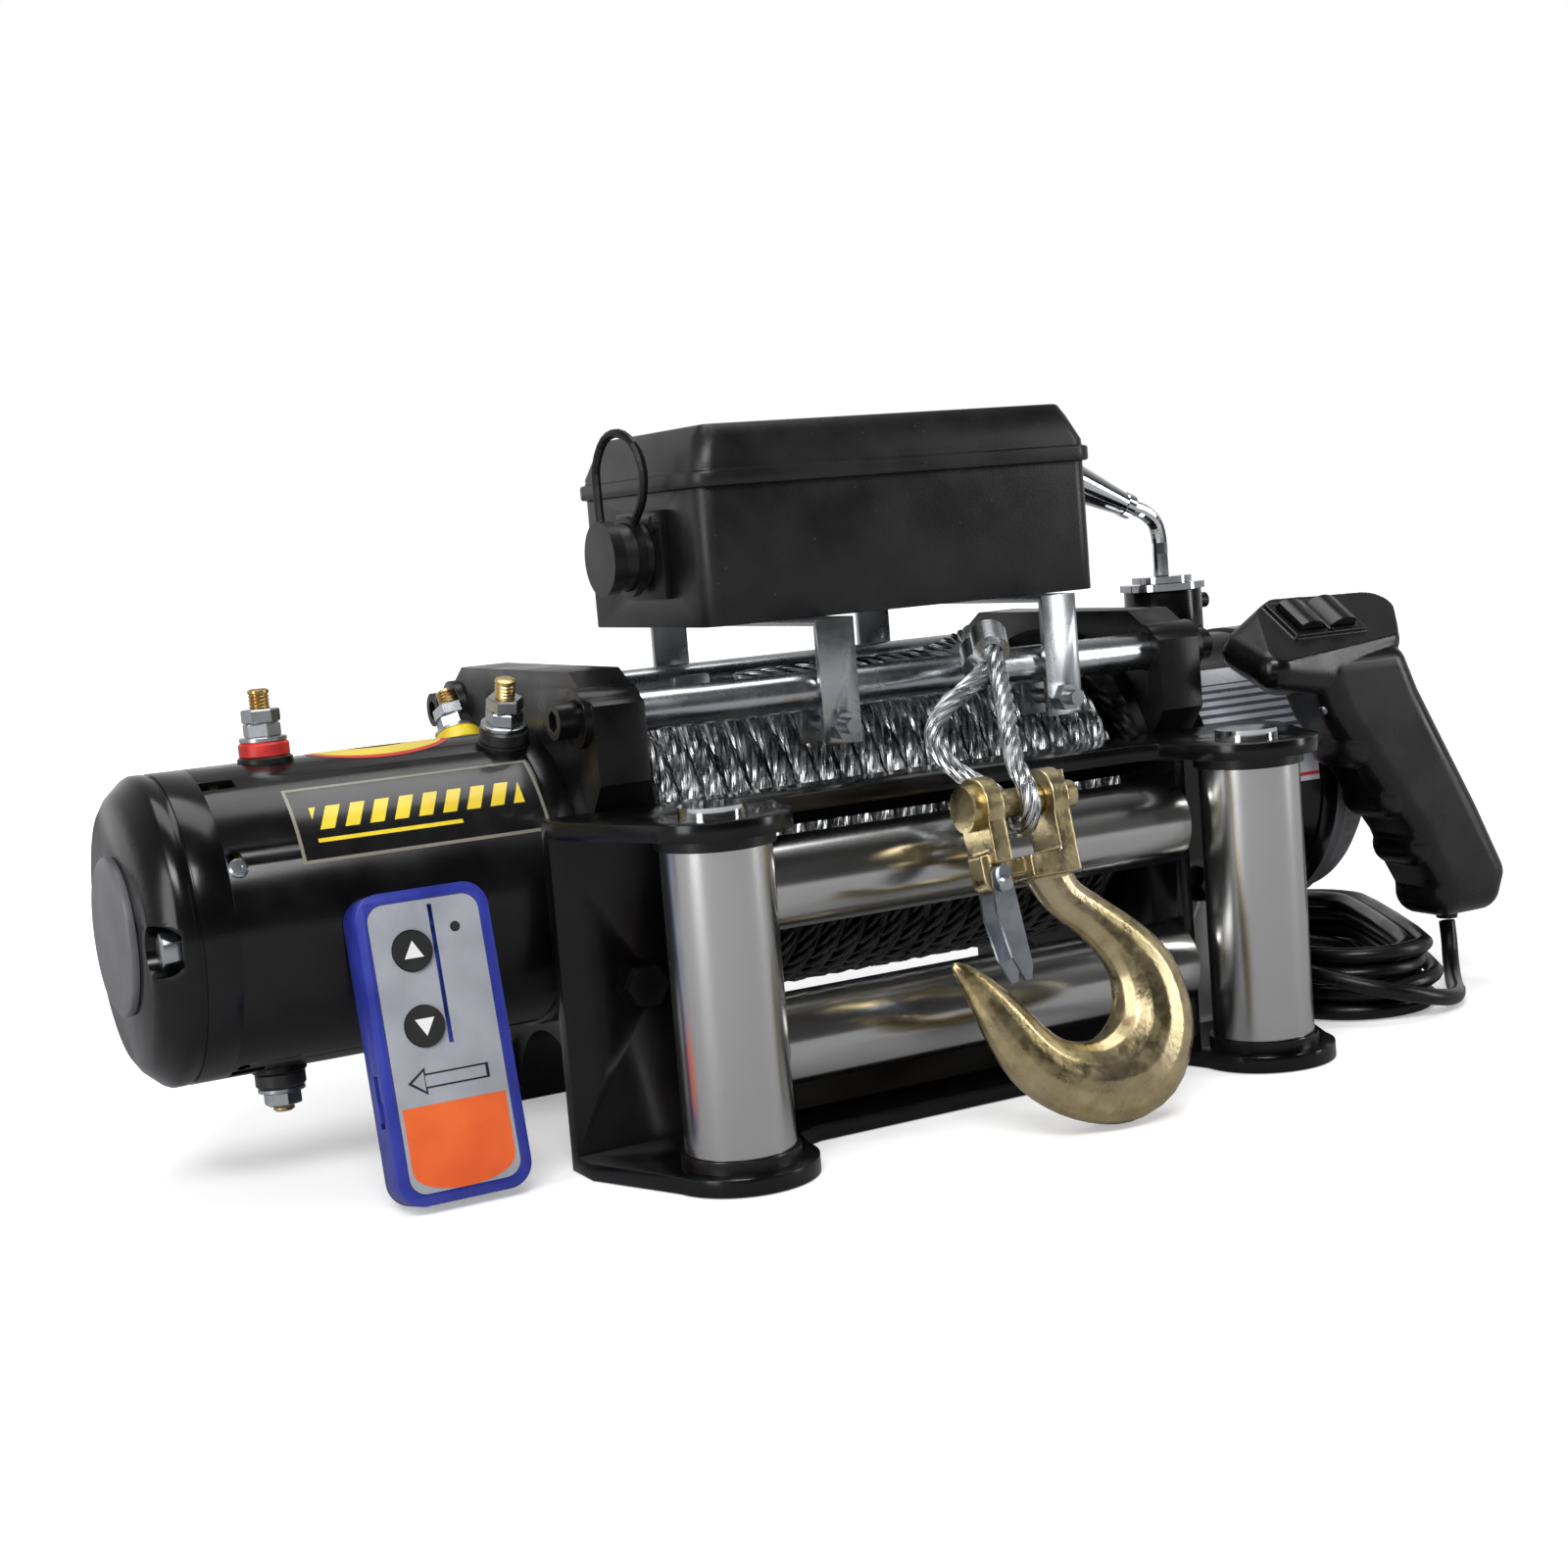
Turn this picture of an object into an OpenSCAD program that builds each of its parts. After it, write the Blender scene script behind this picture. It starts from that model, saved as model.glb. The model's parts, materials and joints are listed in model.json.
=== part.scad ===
// Electric drum winch with roller fairlead, hook, wired handset and pocket remote.
// +X runs along the drum towards the gearbox, -Y faces the fairlead, +Z is up.
// The origin is on the ground under the middle of the drum.

/* [Winch frame] */
// Height of the drum axis above the feet
axis_z = 96; // [92:1:110]
// Half the clear distance between the two drum supports
support_in = 114; // [110:1:124]
// Thickness of a drum support casting
support_t = 20; // [18:1:24]
// Half the depth of a drum support, front to back
support_half_d = 76; // [74:1:82]
// Height of a drum support
support_h = 175; // [172:1:186]
// Width of the corner chamfer on top of a support
support_chamfer = 20; // [12:1:24]
// Spacing of the mounting holes along the drum
foot_pitch_x = 254; // [250:1:260]
// Spacing of the mounting holes across the drum
foot_pitch_y = 114.3; // [112:0.1:118]
// Height of the foot pads
foot_h = 24; // [20:1:28]
// Width of the foot pads along the drum
foot_w = 28; // [26:1:32]
// Radius of the mounting bolt holes
foot_bolt_r = 5.25; // [4.25:0.25:6]
// Radius of a tie bar
tie_r = 7.5; // [6:0.5:9]
// Distance of each tie bar in front of or behind the axis
tie_y = 64; // [62:1:66]
// Height of the tie bars
tie_z = 158.6; // [156:0.2:160]

/* [Drum and rope] */
// Radius of the drum barrel
drum_r = 31.75; // [28:0.25:36]
// Radius of the drum flanges
drum_flange_r = 72; // [70:0.5:74]
// Thickness of a drum flange
drum_flange_t = 5; // [4:0.5:7]
// Diameter of the wire rope
rope_d = 9.2; // [8:0.1:9.4]
// Radius of the inner rope layers
rope_core_r = 50; // [46:0.5:52]
// Turns in the outer rope layer
rope_turns = 21; // [18:1:22]

/* [Motor] */
// Outer radius of the motor can
motor_r = 56; // [54:0.5:58]
// Wall of the motor can
motor_wall = 3.5; // [2.5:0.5:4.5]
// Length of the motor can
motor_len = 128; // [124:1:140]
// Length of the end cap
end_cap_len = 28; // [24:1:32]
// Radius of the round cover on the end cap
end_plug_r = 28.5; // [24:0.5:32]

/* [Gearbox and clutch] */
// Outer radius of the gear housing
gear_r = 62; // [60:0.5:64]
// Length of the gear housing
gear_len = 80; // [78:1:86]
// Length of the end cover
gear_cover_len = 27; // [24:1:32]
// Gear module
gear_module = 1.5; // [1.4:0.05:1.5]
// Teeth on each sun gear
sun_teeth = 12; // [12:1:12]
// Teeth on each planet gear
planet_teeth = 26; // [26:1:26]
// Distance of the clutch from the middle of the drum
clutch_x = 175; // [172:1:180]
// Radius of the clutch body
clutch_r = 17; // [15:0.5:19]
// Height of the clutch body's top
clutch_z = 179; // [178:1:184]

/* [Control box] */
// Left side of the box
box_x0 = -75; // [-80:1:-70]
// Right side of the box
box_x1 = 102; // [95:1:104]
// Front of the box
box_y0 = -54; // [-60:1:-50]
// Back of the box
box_y1 = 57; // [50:1:62]
// Underside of the box
box_z0 = 185.5; // [185.5:0.5:190]
// Height of the rim where the lid starts
box_rim_z = 242; // [236:1:246]
// Height of the lid above the rim
lid_h = 19; // [14:1:26]
// Wall of the box
box_wall = 2.5; // [2:0.5:3]

/* [Fairlead] */
// Half the length of the fairlead frame
fair_half_l = 158; // [154:1:164]
// Height of the fairlead frame
fair_h = 126; // [122:1:130]
// Plate thickness of the frame
fair_t = 6; // [5:0.5:7]
// Radius of a vertical roller
vroller_r = 19.4; // [18:0.2:20]
// Distance of a vertical roller from the middle
vroller_x = 115; // [114:0.5:117]
// Distance of a vertical roller in front of the axis
vroller_y = 126; // [124:0.5:130]
// Radius of a horizontal roller
hroller_r = 16.6; // [15:0.2:17.4]
// Distance of a horizontal roller in front of the axis
hroller_y = 104; // [103:0.5:105]
// Height of the upper horizontal roller
hroller_z1 = 95.3; // [93:0.1:97]
// Height of the lower horizontal roller
hroller_z0 = 38.9; // [37:0.1:41]

/* [Hook] */
// Height of the clevis pin
hook_z = 117; // [116:0.5:118]
// Distance of the hook in front of the axis
hook_y = 143; // [142:0.5:146]
// Position of the hook along the drum
hook_x = -5; // [-8:1:2]
// Size of the hook against its drawn outline
hook_scale = 1.03; // [0.97:0.02:1.03]
// Forward lean of the hook, which stands on the ground
hook_lean = 13; // [13:0.5:24]

/* [Handset and remote] */
// Thickness of the handset
handset_t = 38; // [34:1:40]
// Diameter of the handset cord
cord_d = 7; // [6.4:0.1:7.2]
// Width of the remote
remote_w = 48; // [44:1:52]
// Height of the remote
remote_h = 107; // [100:1:110]
// Thickness of the remote
remote_t = 16; // [14:0.5:18]
// Lean of the remote
remote_lean = 12; // [10:0.5:13]

/* [Fits] */
// Gap between parts that turn or slide on each other
run_gap = 0.3; // [0.25:0.05:0.35]
// Gap between the free rope and its sleeve
rope_gap = 0.1; // [0.05:0.05:0.2]
// Overrun of every cut past the face it opens
over = 1; // [0.5:0.5:2]

/* [Hidden] */
$fn = 64;

// Derived places along the drum
support_out = support_in + support_t;
motor_x1 = -support_out;
motor_x0 = motor_x1 - motor_len;
end_x = motor_x0 - end_cap_len;
gear_x1 = support_out + gear_len;
gear_rim_r = gear_r + 1.5;
cover_x1 = gear_x1 + gear_cover_len;
foot_x = foot_pitch_x / 2;
foot_y = foot_pitch_y / 2;
fair_back = support_half_d + run_gap;
fair_front = fair_back + fair_t;
fair_bolt_z = fair_h / 2;

// Drum journals, bushes and the shaft through the drum
journal_r = 36;
journal_end = support_out - 2;
bush_t = 4;
bush_len = support_t - 4;
drum_bore_r = 20;
shaft_r = 6;
wind_steps = 22;
winding_r = (rope_core_r + rope_d / 2 + 0.1) / cos(180 / wind_steps);
flange_in = support_in - run_gap - drum_flange_t;

// Gears
sun_r = gear_module * sun_teeth / 2;
planet_r = gear_module * planet_teeth / 2;
ring_r = sun_r + 2 * planet_r;
planet_arm = sun_r + planet_r;
tooth_gap = 0.35;
tooth_depth = 1.6;
ring_wall = 4;
gear_face = 14;
plate_t = 4;
stage_pitch = 24;
stage_x = support_out + 8;
planet_pin_r = 4;

// Motor inside
field_r0 = 34;
field_r1 = motor_r - motor_wall;
field_x0 = motor_x0 + 22;
field_x1 = motor_x1 - 30;
armature_r = field_r0 - 1;
commutator_r = 20;
bolt_circle = field_r1 - 5;
bearing_r = 14;
plug_t = 4.5;
cap_edge = 8;

// Control box and its straps
box_corner = 8;
rim_out = 2.4;
rim_h = 4.5;
lid_taper = 4;
strap_w = 16;
strap_t = 2.5;
strap_x_left = -33;
strap_x_right = 68;
strap_y = tie_y + tie_r + strap_t;
socket_y = -4;
box_h = box_rim_z - box_z0;
box_top_z = box_rim_z + lid_h;
socket_z = box_z0 + box_h / 2;
socket_r = 13;
socket_len = 15;
cap_t = 5;

// Fairlead
bush_ring_r = 21;
bush_ring_t = 4.2;
side_plate_x = 90.5;
lug_r = 27;
pin_r = 8;
lip_y = 107;

// Places where the terminals stand on the motor can: distance along, lean angle
term_red = [motor_len - 30, 0];
term_black = [13, 19];
term_yellow = [13, -30];
term_bottom = [motor_len - 22, 176];

// Small part sizes
hex_r = 7;
hex_h = 6;
stud_r = 4;
wire_r = 1.6;

// Blocks and round bars given by their end planes
module block(x0, x1, y0, y1, z0, z1)
    translate([x0, y0, z0]) cube([x1 - x0, y1 - y0, z1 - z0]);
module xbar(r, x0, x1, y = 0, z = axis_z)
    translate([x0, y, z]) rotate([0, 90, 0]) cylinder(r = r, h = x1 - x0);
module ybar(r, y0, y1, x, z)
    translate([x, y1, z]) rotate([90, 0, 0]) cylinder(r = r, h = y1 - y0);
module zbar(r, z0, z1, x, y)
    translate([x, y, z0]) cylinder(r = r, h = z1 - z0);
module xtube(ro, ri, x0, x1, y = 0, z = axis_z)
    difference() {
        xbar(ro, x0, x1, y, z);
        xbar(ri, x0 - over, x1 + over, y, z);
    }
// A block with rounded vertical edges
module round_block(x0, x1, y0, y1, z0, z1, r) {
    block(x0 + r, x1 - r, y0, y1, z0, z1);
    block(x0, x1, y0 + r, y1 - r, z0, z1);
    for (x = [x0 + r, x1 - r], y = [y0 + r, y1 - r]) zbar(r, z0, z1, x, y);
}
// Lathe profile turned about the drum axis, points are [distance along, radius]
module lathe(points)
    translate([0, 0, axis_z]) rotate([0, 90, 0])
        rotate_extrude() polygon([for (p = points) [p[1], p[0]]]);

// A round bar from point a to point b
module rod_between(a, b, r1, r2) {
    d = b - a;
    translate(a) rotate([0, acos(d[2] / norm(d)), atan2(d[1], d[0])]) cylinder(r1 = r1, r2 = r2, h = norm(d));
}

// Sweep helpers for ropes, cords and bent rods
function unit(v) = v / norm(v);
function tangent(p, i) = unit(p[min(i + 1, len(p) - 1)] - p[max(i - 1, 0)]);
function square_to(n, t) = unit(n - (n * t) * t);
function carried(p, n0) =
    [for (i = 0, n = square_to(n0, tangent(p, 0)); i < len(p);
        i = i + 1, n = i < len(p) ? square_to(n, tangent(p, i)) : n) n];
module sweep(p, n, radii, sides, stretch = 1) {
    points = [for (i = [0 : len(p) - 1])
        let (t = tangent(p, i), u = square_to(n[i], t), v = cross(t, u))
            for (k = [0 : sides - 1])
                let (a = 360 * k / sides)
                    p[i] + radii[i] * (cos(a) * u + stretch * sin(a) * v)];
    last = (len(p) - 1) * sides;
    skin = [for (i = [0 : len(p) - 2], k = [0 : sides - 1])
        let (a = i * sides + k, b = i * sides + (k + 1) % sides)
            each [[a, a + sides, b], [b, a + sides, b + sides]]];
    near_cap = [for (k = [1 : sides - 2]) [0, k, k + 1]];
    far_cap = [for (k = [1 : sides - 2]) [last, last + k + 1, last + k]];
    polyhedron([for (q = points) q], concat(skin, near_cap, far_cap));
}
// Smooth curve through hand-chosen points
function bend(a, b, c, d, t) = 0.5 * ((2 * b) + (c - a) * t + (2 * a - 5 * b + 4 * c - d) * t * t
    + (3 * b - a - 3 * c + d) * t * t * t);
function smooth_route(p, steps) = concat([for (i = [0 : len(p) - 2], s = [0 : steps - 1])
    bend(p[max(i - 1, 0)], p[i], p[i + 1], p[min(i + 2, len(p) - 1)], s / steps)],
    [p[len(p) - 1]]);
function same(n, r) = [for (i = [1 : n]) r];

// Motor
module at_can(term)
    translate([motor_x1 - term[0], 0, axis_z]) rotate([term[1], 0, 0]) children();
insulator_r = 9;
insulator_h = 7;
module motor_case() color([0.03, 0.03, 0.035]) difference() {
    union() {
        xtube(motor_r, field_r1, motor_x0, motor_x1);
        xtube(motor_r + 1.2, motor_r - motor_wall, motor_x1 - 9, motor_x1);
    }
    for (t = [term_red, term_black, term_yellow, term_bottom])
        at_can(t) cylinder(r = stud_r + run_gap, h = motor_r + 9);
    for (a = [24, 156, 204, 336]) translate([motor_x0, 0, axis_z]) rotate([a, 0, 0])
        translate([0, -3, motor_r - 9]) cube([12, 6, 18]);
    for (a = [60, 150, 240, 330]) translate([motor_x0 + 3.5, 0, axis_z]) rotate([a, 0, 0])
        cylinder(r = 2.3, h = motor_r + 9);
}
module bolt_notches() for (s = [-1, 1]) xbar(9, end_x - over, end_x + 9, s * (motor_r - 8));
module motor_end_cap() color([0.035, 0.035, 0.04]) difference() {
    lathe([[end_x, bearing_r], [end_x, motor_r - cap_edge - 2], [end_x + 2.5, motor_r - cap_edge + 2],
        [end_x + cap_edge, motor_r - 1], [end_x + cap_edge + 2, motor_r],
        [end_x + 14, motor_r], [end_x + 14, motor_r - 1], [end_x + 16, motor_r - 1],
        [end_x + 16, motor_r], [motor_x0, motor_r], [motor_x0, field_r1 - 2],
        [end_x + 12, field_r1 - 4], [end_x + 12, bearing_r]]);
    bolt_notches();
    for (s = [-1, 1]) xbar(3 + run_gap, end_x, motor_x0 + over, s * bolt_circle);
}
module end_plug() color([0.12, 0.12, 0.12]) {
    lathe([[end_x - plug_t, 0], [end_x - plug_t, end_plug_r - 3], [end_x - plug_t + 1.5, end_plug_r],
        [end_x, end_plug_r], [end_x, bearing_r - run_gap], [end_x + 3, bearing_r - run_gap],
        [end_x + 3, 0]]);
}
module through_bolts() color("silver") {
    for (s = [-1, 1]) {
        xbar(3, end_x + 9, motor_x1, s * bolt_circle);
        translate([end_x + 3, s * bolt_circle, axis_z]) rotate([0, 90, 0])
            cylinder(r = 6.5, h = 6, $fn = 6);
    }
}
// A slice of a ring about the motor axis
module ring_slice(r0, r1, x0, x1, middle, half)
    intersection() {
        xtube(r1, r0, x0, x1);
        translate([x0 - over, 0, axis_z]) rotate([middle, 0, 0]) rotate([90, 0, 90])
            linear_extrude(x1 - x0 + 2 * over)
                polygon([[0, 0], [-2 * r1 * sin(half), 2 * r1 * cos(half)],
                    [2 * r1 * sin(half), 2 * r1 * cos(half)]]);
    }
pole_angles = [45, 135, 225, 315];
module pole_shoes() color("dimgray")
    for (a = pole_angles) ring_slice(field_r0, field_r1 - 0.1, field_x0, field_x1, a, 26);
module field_windings() color([0.72, 0.4, 0.2])
    for (a = pole_angles) difference() {
        ring_slice(field_r0 + 4, field_r1 - 4, field_x0 - 7, field_x1 + 7, a, 34);
        ring_slice(field_r0, field_r1, field_x0 - run_gap, field_x1 + run_gap, a, 26.4);
    }
brush_x0 = motor_x0 + 4;
brush_x1 = motor_x0 + 12;
module brush_ring() color([0.25, 0.18, 0.12]) difference() {
    union() {
        xtube(field_r1 - 0.2, field_r1 - 16, brush_x0, brush_x0 + 3);
        for (a = pole_angles) translate([brush_x0, 0, axis_z]) rotate([a, 0, 0])
            translate([0, -5, commutator_r + run_gap]) cube([8, 10, field_r1 - commutator_r - 10]);
    }
    for (s = [-1, 1]) xbar(3 + run_gap, brush_x0 - over, brush_x1 + over, s * bolt_circle);
}
stud_top = 26;
module terminal_studs() color([0.75, 0.6, 0.3])
    for (t = [term_red, term_black, term_yellow, term_bottom]) at_can(t) {
        h = t[1] > 90 ? stud_top - 10 : stud_top;
        translate([0, 0, motor_r - 8]) cylinder(r = stud_r, h = h + 8);
        translate([0, 0, motor_r + insulator_h]) cylinder(r = 8.5, h = 2);
        translate([0, 0, motor_r + insulator_h + 2]) cylinder(r = hex_r, h = hex_h - 1, $fn = 6);
        if (t[1] < 90) translate([0, 0, motor_r + insulator_h + 7]) cylinder(r = hex_r, h = 5, $fn = 6);
    }
module terminal_insulators() color([0.7, 0.08, 0.05])
    for (t = [term_red, term_black, term_yellow, term_bottom]) difference() {
        at_can(t) translate([0, 0, motor_r - 3]) cylinder(r = insulator_r, h = insulator_h + 3);
        xbar(motor_r + 1.25, motor_x0 - over, motor_x1 + over);
        at_can(t) cylinder(r = stud_r, h = 2 * motor_r);
    }

// Armature and the shaft that runs through the drum
module drive_shaft() color("silver") {
    xbar(shaft_r, end_x + 6, stage_x + 2 * stage_pitch + plate_t + gear_face + 6);
    toothed(sun_r, sun_teeth, stage_x + 2 * stage_pitch + plate_t + 1, 0, 0, shaft_r);
}
module armature_core() color("gray") difference() {
    xtube(armature_r, shaft_r, field_x0 + 2, field_x1 - 2);
    for (a = [0 : 24 : 359]) translate([field_x0, 0, axis_z]) rotate([a, 0, 0])
        translate([0, -1.5, armature_r - 7]) cube([field_x1 - field_x0, 3, 12]);
}
module armature_copper() color([0.72, 0.4, 0.2]) {
    lathe([[field_x0 - 8, shaft_r], [field_x0 - 8, 24], [field_x0 + 2, 30], [field_x0 + 2, shaft_r]]);
    lathe([[field_x1 - 2, shaft_r], [field_x1 - 2, 30], [field_x1 + 8, 24], [field_x1 + 8, shaft_r]]);
    difference() {
        xtube(commutator_r, shaft_r, brush_x0 - 1, brush_x1 + 2);
        for (a = [0 : 24 : 359]) translate([brush_x0 - 2, 0, axis_z]) rotate([a, 0, 0])
            translate([0, -0.5, commutator_r - 3]) cube([16, 1, 6]);
    }
}
module brake_cone() color("dimgray") {
    lathe([[-60, shaft_r], [-60, 15], [-40, drum_bore_r - 1], [-12, drum_bore_r - 1],
        [-12, shaft_r]]);
}

// Castings that carry the drum
module support_outline() polygon([[-support_half_d, 0], [support_half_d, 0],
    [support_half_d, foot_h + 12], [support_half_d - 8, foot_h + 24],
    [support_half_d - 8, tie_z - 34], [support_half_d, tie_z - 24],
    [support_half_d, support_h - 12], [support_half_d - support_chamfer, support_h],
    [-support_half_d + support_chamfer, support_h], [-support_half_d, support_h - 12],
    [-support_half_d, tie_z - 24], [-support_half_d + 8, tie_z - 34],
    [-support_half_d + 8, foot_h + 24], [-support_half_d, foot_h + 12]]);
arch_r = 34;
module support(side, foot_off) difference() {
    union() {
        translate([side > 0 ? support_in : -support_out, 0, 0]) rotate([90, 0, 90])
            linear_extrude(support_t) support_outline();
        for (s = [-1, 1]) {
            block(foot_off - foot_w / 2, foot_off + foot_w / 2, s > 0 ? foot_y - 18.8 : -support_half_d,
                s > 0 ? support_half_d : -foot_y + 18.8, 0, foot_h);
            xbar(11, side > 0 ? support_in : -support_out - 3, side > 0 ? support_out + 3 : -support_in,
                s * tie_y, tie_z);
        }
    }
    xbar(journal_r + run_gap + bush_t, side > 0 ? support_in - over : -support_in - bush_len,
        side > 0 ? support_in + bush_len : -support_in + over);
    xbar(journal_r + run_gap, -support_out - 9 * over, support_out + 9 * over);
    translate([side > 0 ? support_in - 9 : -support_out - 9, 0, 0]) rotate([90, 0, 90])
        linear_extrude(support_t + 18) intersection() {
            circle(r = arch_r);
            translate([-arch_r, 0]) square([2 * arch_r, arch_r]);
        }
    for (s = [-1, 1]) {
        zbar(foot_bolt_r, -over, foot_h + 2, foot_off, s * foot_y);
        xbar(4 + run_gap, -support_out - 9, support_out + 9, s * tie_y, tie_z);
    }
    ybar(4.25, -support_half_d - over, -support_half_d + 20, side * foot_x, fair_bolt_z);
}
module drum_support_motor() color([0.03, 0.03, 0.03]) support(-1, -foot_x);
module drum_support_gear() color([0.03, 0.03, 0.03]) support(1, foot_x);
module tie_bars() color([0.78, 0.8, 0.82]) for (s = [-1, 1]) difference() {
    xbar(tie_r, -support_in, support_in, s * tie_y, tie_z);
    for (e = [-1, 1]) xbar(4.05, e > 0 ? support_in - 22 : -support_in - over,
        e > 0 ? support_in + over : -support_in + 22, s * tie_y, tie_z);
}
// A socket head screw along X, its head at x pointing away from the drum
module socket_screw(x, out, y, z, shank_r, reach) {
    head_r = shank_r * 1.7;
    difference() {
        union() {
            xbar(shank_r, out > 0 ? x - reach : x, out > 0 ? x : x + reach, y, z);
            xbar(head_r, out > 0 ? x : x - 8, out > 0 ? x + 8 : x, y, z);
        }
        translate([out > 0 ? x + 3 : x - 8 - over, y, z]) rotate([0, 90, 0])
            cylinder(r = shank_r, h = 5 + over, $fn = 6);
    }
}
module support_bolts() color([0.06, 0.06, 0.06]) {
    for (s = [-1, 1], e = [-1, 1])
        socket_screw(e * (support_out + 3), e, s * tie_y, tie_z, 4, support_t + 18);
    for (e = [-1, 1]) {
        ybar(4.2, -fair_front, -support_half_d + 18, e * foot_x, fair_bolt_z);
        translate([e * foot_x, -fair_front, fair_bolt_z]) rotate([90, 0, 0])
            cylinder(r = 8, h = 5, $fn = 6);
    }
}
module drum_bushes() color([0.7, 0.5, 0.25]) for (e = [-1, 1])
    xtube(journal_r + run_gap + bush_t, journal_r + run_gap, e > 0 ? support_in : -support_in - bush_len,
        e > 0 ? support_in + bush_len : -support_in);

// Drum, rope layers and the rope that leads to the hook
module drum() color([0.12, 0.12, 0.13])
    difference() {
        union() {
            xbar(drum_r, -flange_in, flange_in);
            for (e = [-1, 1]) {
                xbar(drum_flange_r, e > 0 ? flange_in : -flange_in - drum_flange_t,
                    e > 0 ? flange_in + drum_flange_t : -flange_in);
                xbar(journal_r, e > 0 ? flange_in : -journal_end, e > 0 ? journal_end : -flange_in);
            }
        }
        xbar(drum_bore_r, -support_out, support_out);
    }
module rope_core() color([0.5, 0.52, 0.54]) xtube(rope_core_r, drum_r, -flange_in, flange_in);
wind_half = flange_in - rope_d / 2 - 0.4;
wind_pitch = 2 * wind_half / rope_turns;
// The winding is steep on the outer layer, one open helix from flange to flange
function wind_point(i) = let (a = 360 * i / wind_steps)
    [-wind_half + wind_pitch * i / wind_steps, winding_r * sin(a), axis_z + winding_r * cos(a)];
wind_path = [for (i = [0 : rope_turns * wind_steps]) wind_point(i)];
wind_normals = [for (p = wind_path) [0, p[1], p[2] - axis_z]];
echo("least gap of the winding to itself", wind_pitch - rope_d);
module rope_winding() color([0.7, 0.72, 0.74])
    sweep(wind_path, wind_normals, same(len(wind_path), rope_d / 2), 6);
// Route of the free rope, from the top of the winding over the front bar to the eye
lead_route = [[-30, 18, 158.6], [-14, 12, 160], [4, 4, 161], [20, -8, 161], [31, -24, 162.8],
    [35, -42, 167], [34, -57, 170.6], [31, -70, 169.8], [28, -77.5, 166.5], [24.5, -84.5, 162]];
// The eye is one loop in the clevis, back to the ferrule
eye_route = [[19, -89.6, 158.6], [11, -93, 155], [1, -95.8, 150.4], [-8, -100, 144.5],
    [-13.6, -107, 137.6], [-14, -116, 130.4], [-9.4, -125.4, 124], [-4.8, -132.6, 118.6], [-4, -135.4, 111.6],
    [-4, -143, 107.5], [-4, -149.9, 110.3], [-4, -152.5, 117], [-4, -149.9, 124.4], [-2.6, -142.4, 131],
    [3, -131.6, 139.6], [10, -119.5, 148.2], [16, -108.6, 155.4], [20, -101, 160.6], [22.6, -95.5, 164.6],
    [24.7, -90.2, 168.7]];
free_path = smooth_route(concat(lead_route, eye_route), 4);
eye_rope_r = rope_d * 0.4;
// The rope thins over the last steps before the eye
lead_steps = 4 * (len(lead_route) - 1);
function free_r(i) = i < lead_steps - 4 ? rope_d / 2 : i > lead_steps ? eye_rope_r
    : rope_d / 2 + (eye_rope_r - rope_d / 2) * (i - lead_steps + 4) / 4;
module free_rope(extra) sweep(free_path, carried(free_path, [0, 0, 1]),
    [for (i = [0 : len(free_path) - 1]) free_r(i) + extra], 10);
module rope_lead() color([0.72, 0.74, 0.76]) free_rope(0);
// Swaged sleeve over the rope and its returning tail
ferrule_r = 8;
ferrule_top = [28.4, -76.4, 167.1];
ferrule_end = [23.6, -85.6, 161.2];
tail_side = [0, -6.2, 6.2];
module eye_fittings() color([0.8, 0.82, 0.84]) difference() {
    union() {
        rod_between(ferrule_top, ferrule_end, ferrule_r, ferrule_r);
        rod_between(ferrule_top + tail_side, ferrule_end + tail_side, ferrule_r - 1, ferrule_r - 1);
    }
    free_rope(rope_gap);
}

// Planetary gear train; tooth tips stop short of the next gear
module tooth_outline(r, teeth, depth) polygon([for (i = [0 : 4 * teeth - 1])
    let (a = 90 * i / teeth, q = i % 4 < 2 ? r : r - depth) [q * cos(a), q * sin(a)]]);
module toothed(r, teeth, x, y, z, bore)
    translate([x, y, axis_z + z]) rotate([90, 0, 90]) linear_extrude(gear_face) difference() {
        tooth_outline(r - tooth_gap, teeth, tooth_depth);
        circle(r = bore);
    }
module ring_gear() color("gray") translate([stage_x - 2, 0, axis_z]) rotate([90, 0, 90])
    linear_extrude(gear_len - 8) difference() {
        circle(r = ring_r + ring_wall, $fn = 240);
        tooth_outline(ring_r + 2, 2 * planet_teeth + sun_teeth, tooth_depth);
    }
module carrier(stage, has_sun) {
    x = stage_x + stage * stage_pitch;
    difference() {
        xbar(planet_arm + 12, x, x + plate_t);
        xbar(shaft_r + run_gap, x - over, x + plate_t + over);
    }
    for (k = [0 : 2]) {
        y = planet_arm * cos(120 * k + 30);
        z = planet_arm * sin(120 * k + 30);
        xbar(planet_pin_r, x + plate_t, x + plate_t + gear_face + 2, y, axis_z + z);
        toothed(planet_r, planet_teeth, x + plate_t + 1, y, z, planet_pin_r);
    }
    if (has_sun) {
        toothed(sun_r, sun_teeth, x - gear_face - 1, 0, 0, shaft_r + run_gap);
        xtube(sun_r - 2, shaft_r + run_gap, x - 2, x);
    }
}
module carrier_first() color("silver") carrier(2, true);
module carrier_second() color("lightgray") carrier(1, true);
module carrier_third() color("gray") {
    carrier(0, false);
    xtube(drum_bore_r + 8, drum_bore_r, journal_end, stage_x);
}
module gear_housing() color([0.035, 0.035, 0.04]) difference() {
    union() {
        xbar(gear_r, support_out, gear_x1);
        xbar(gear_rim_r, gear_x1 - 8, gear_x1);
    }
    xbar(ring_r + ring_wall, stage_x - 3, gear_x1 + over, $fn = 240);
    xbar(drum_bore_r + 20, support_out - over, stage_x);
    zbar(6.3, axis_z + gear_r - 14, axis_z + gear_r + 9, clutch_x, 0);
}
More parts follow.
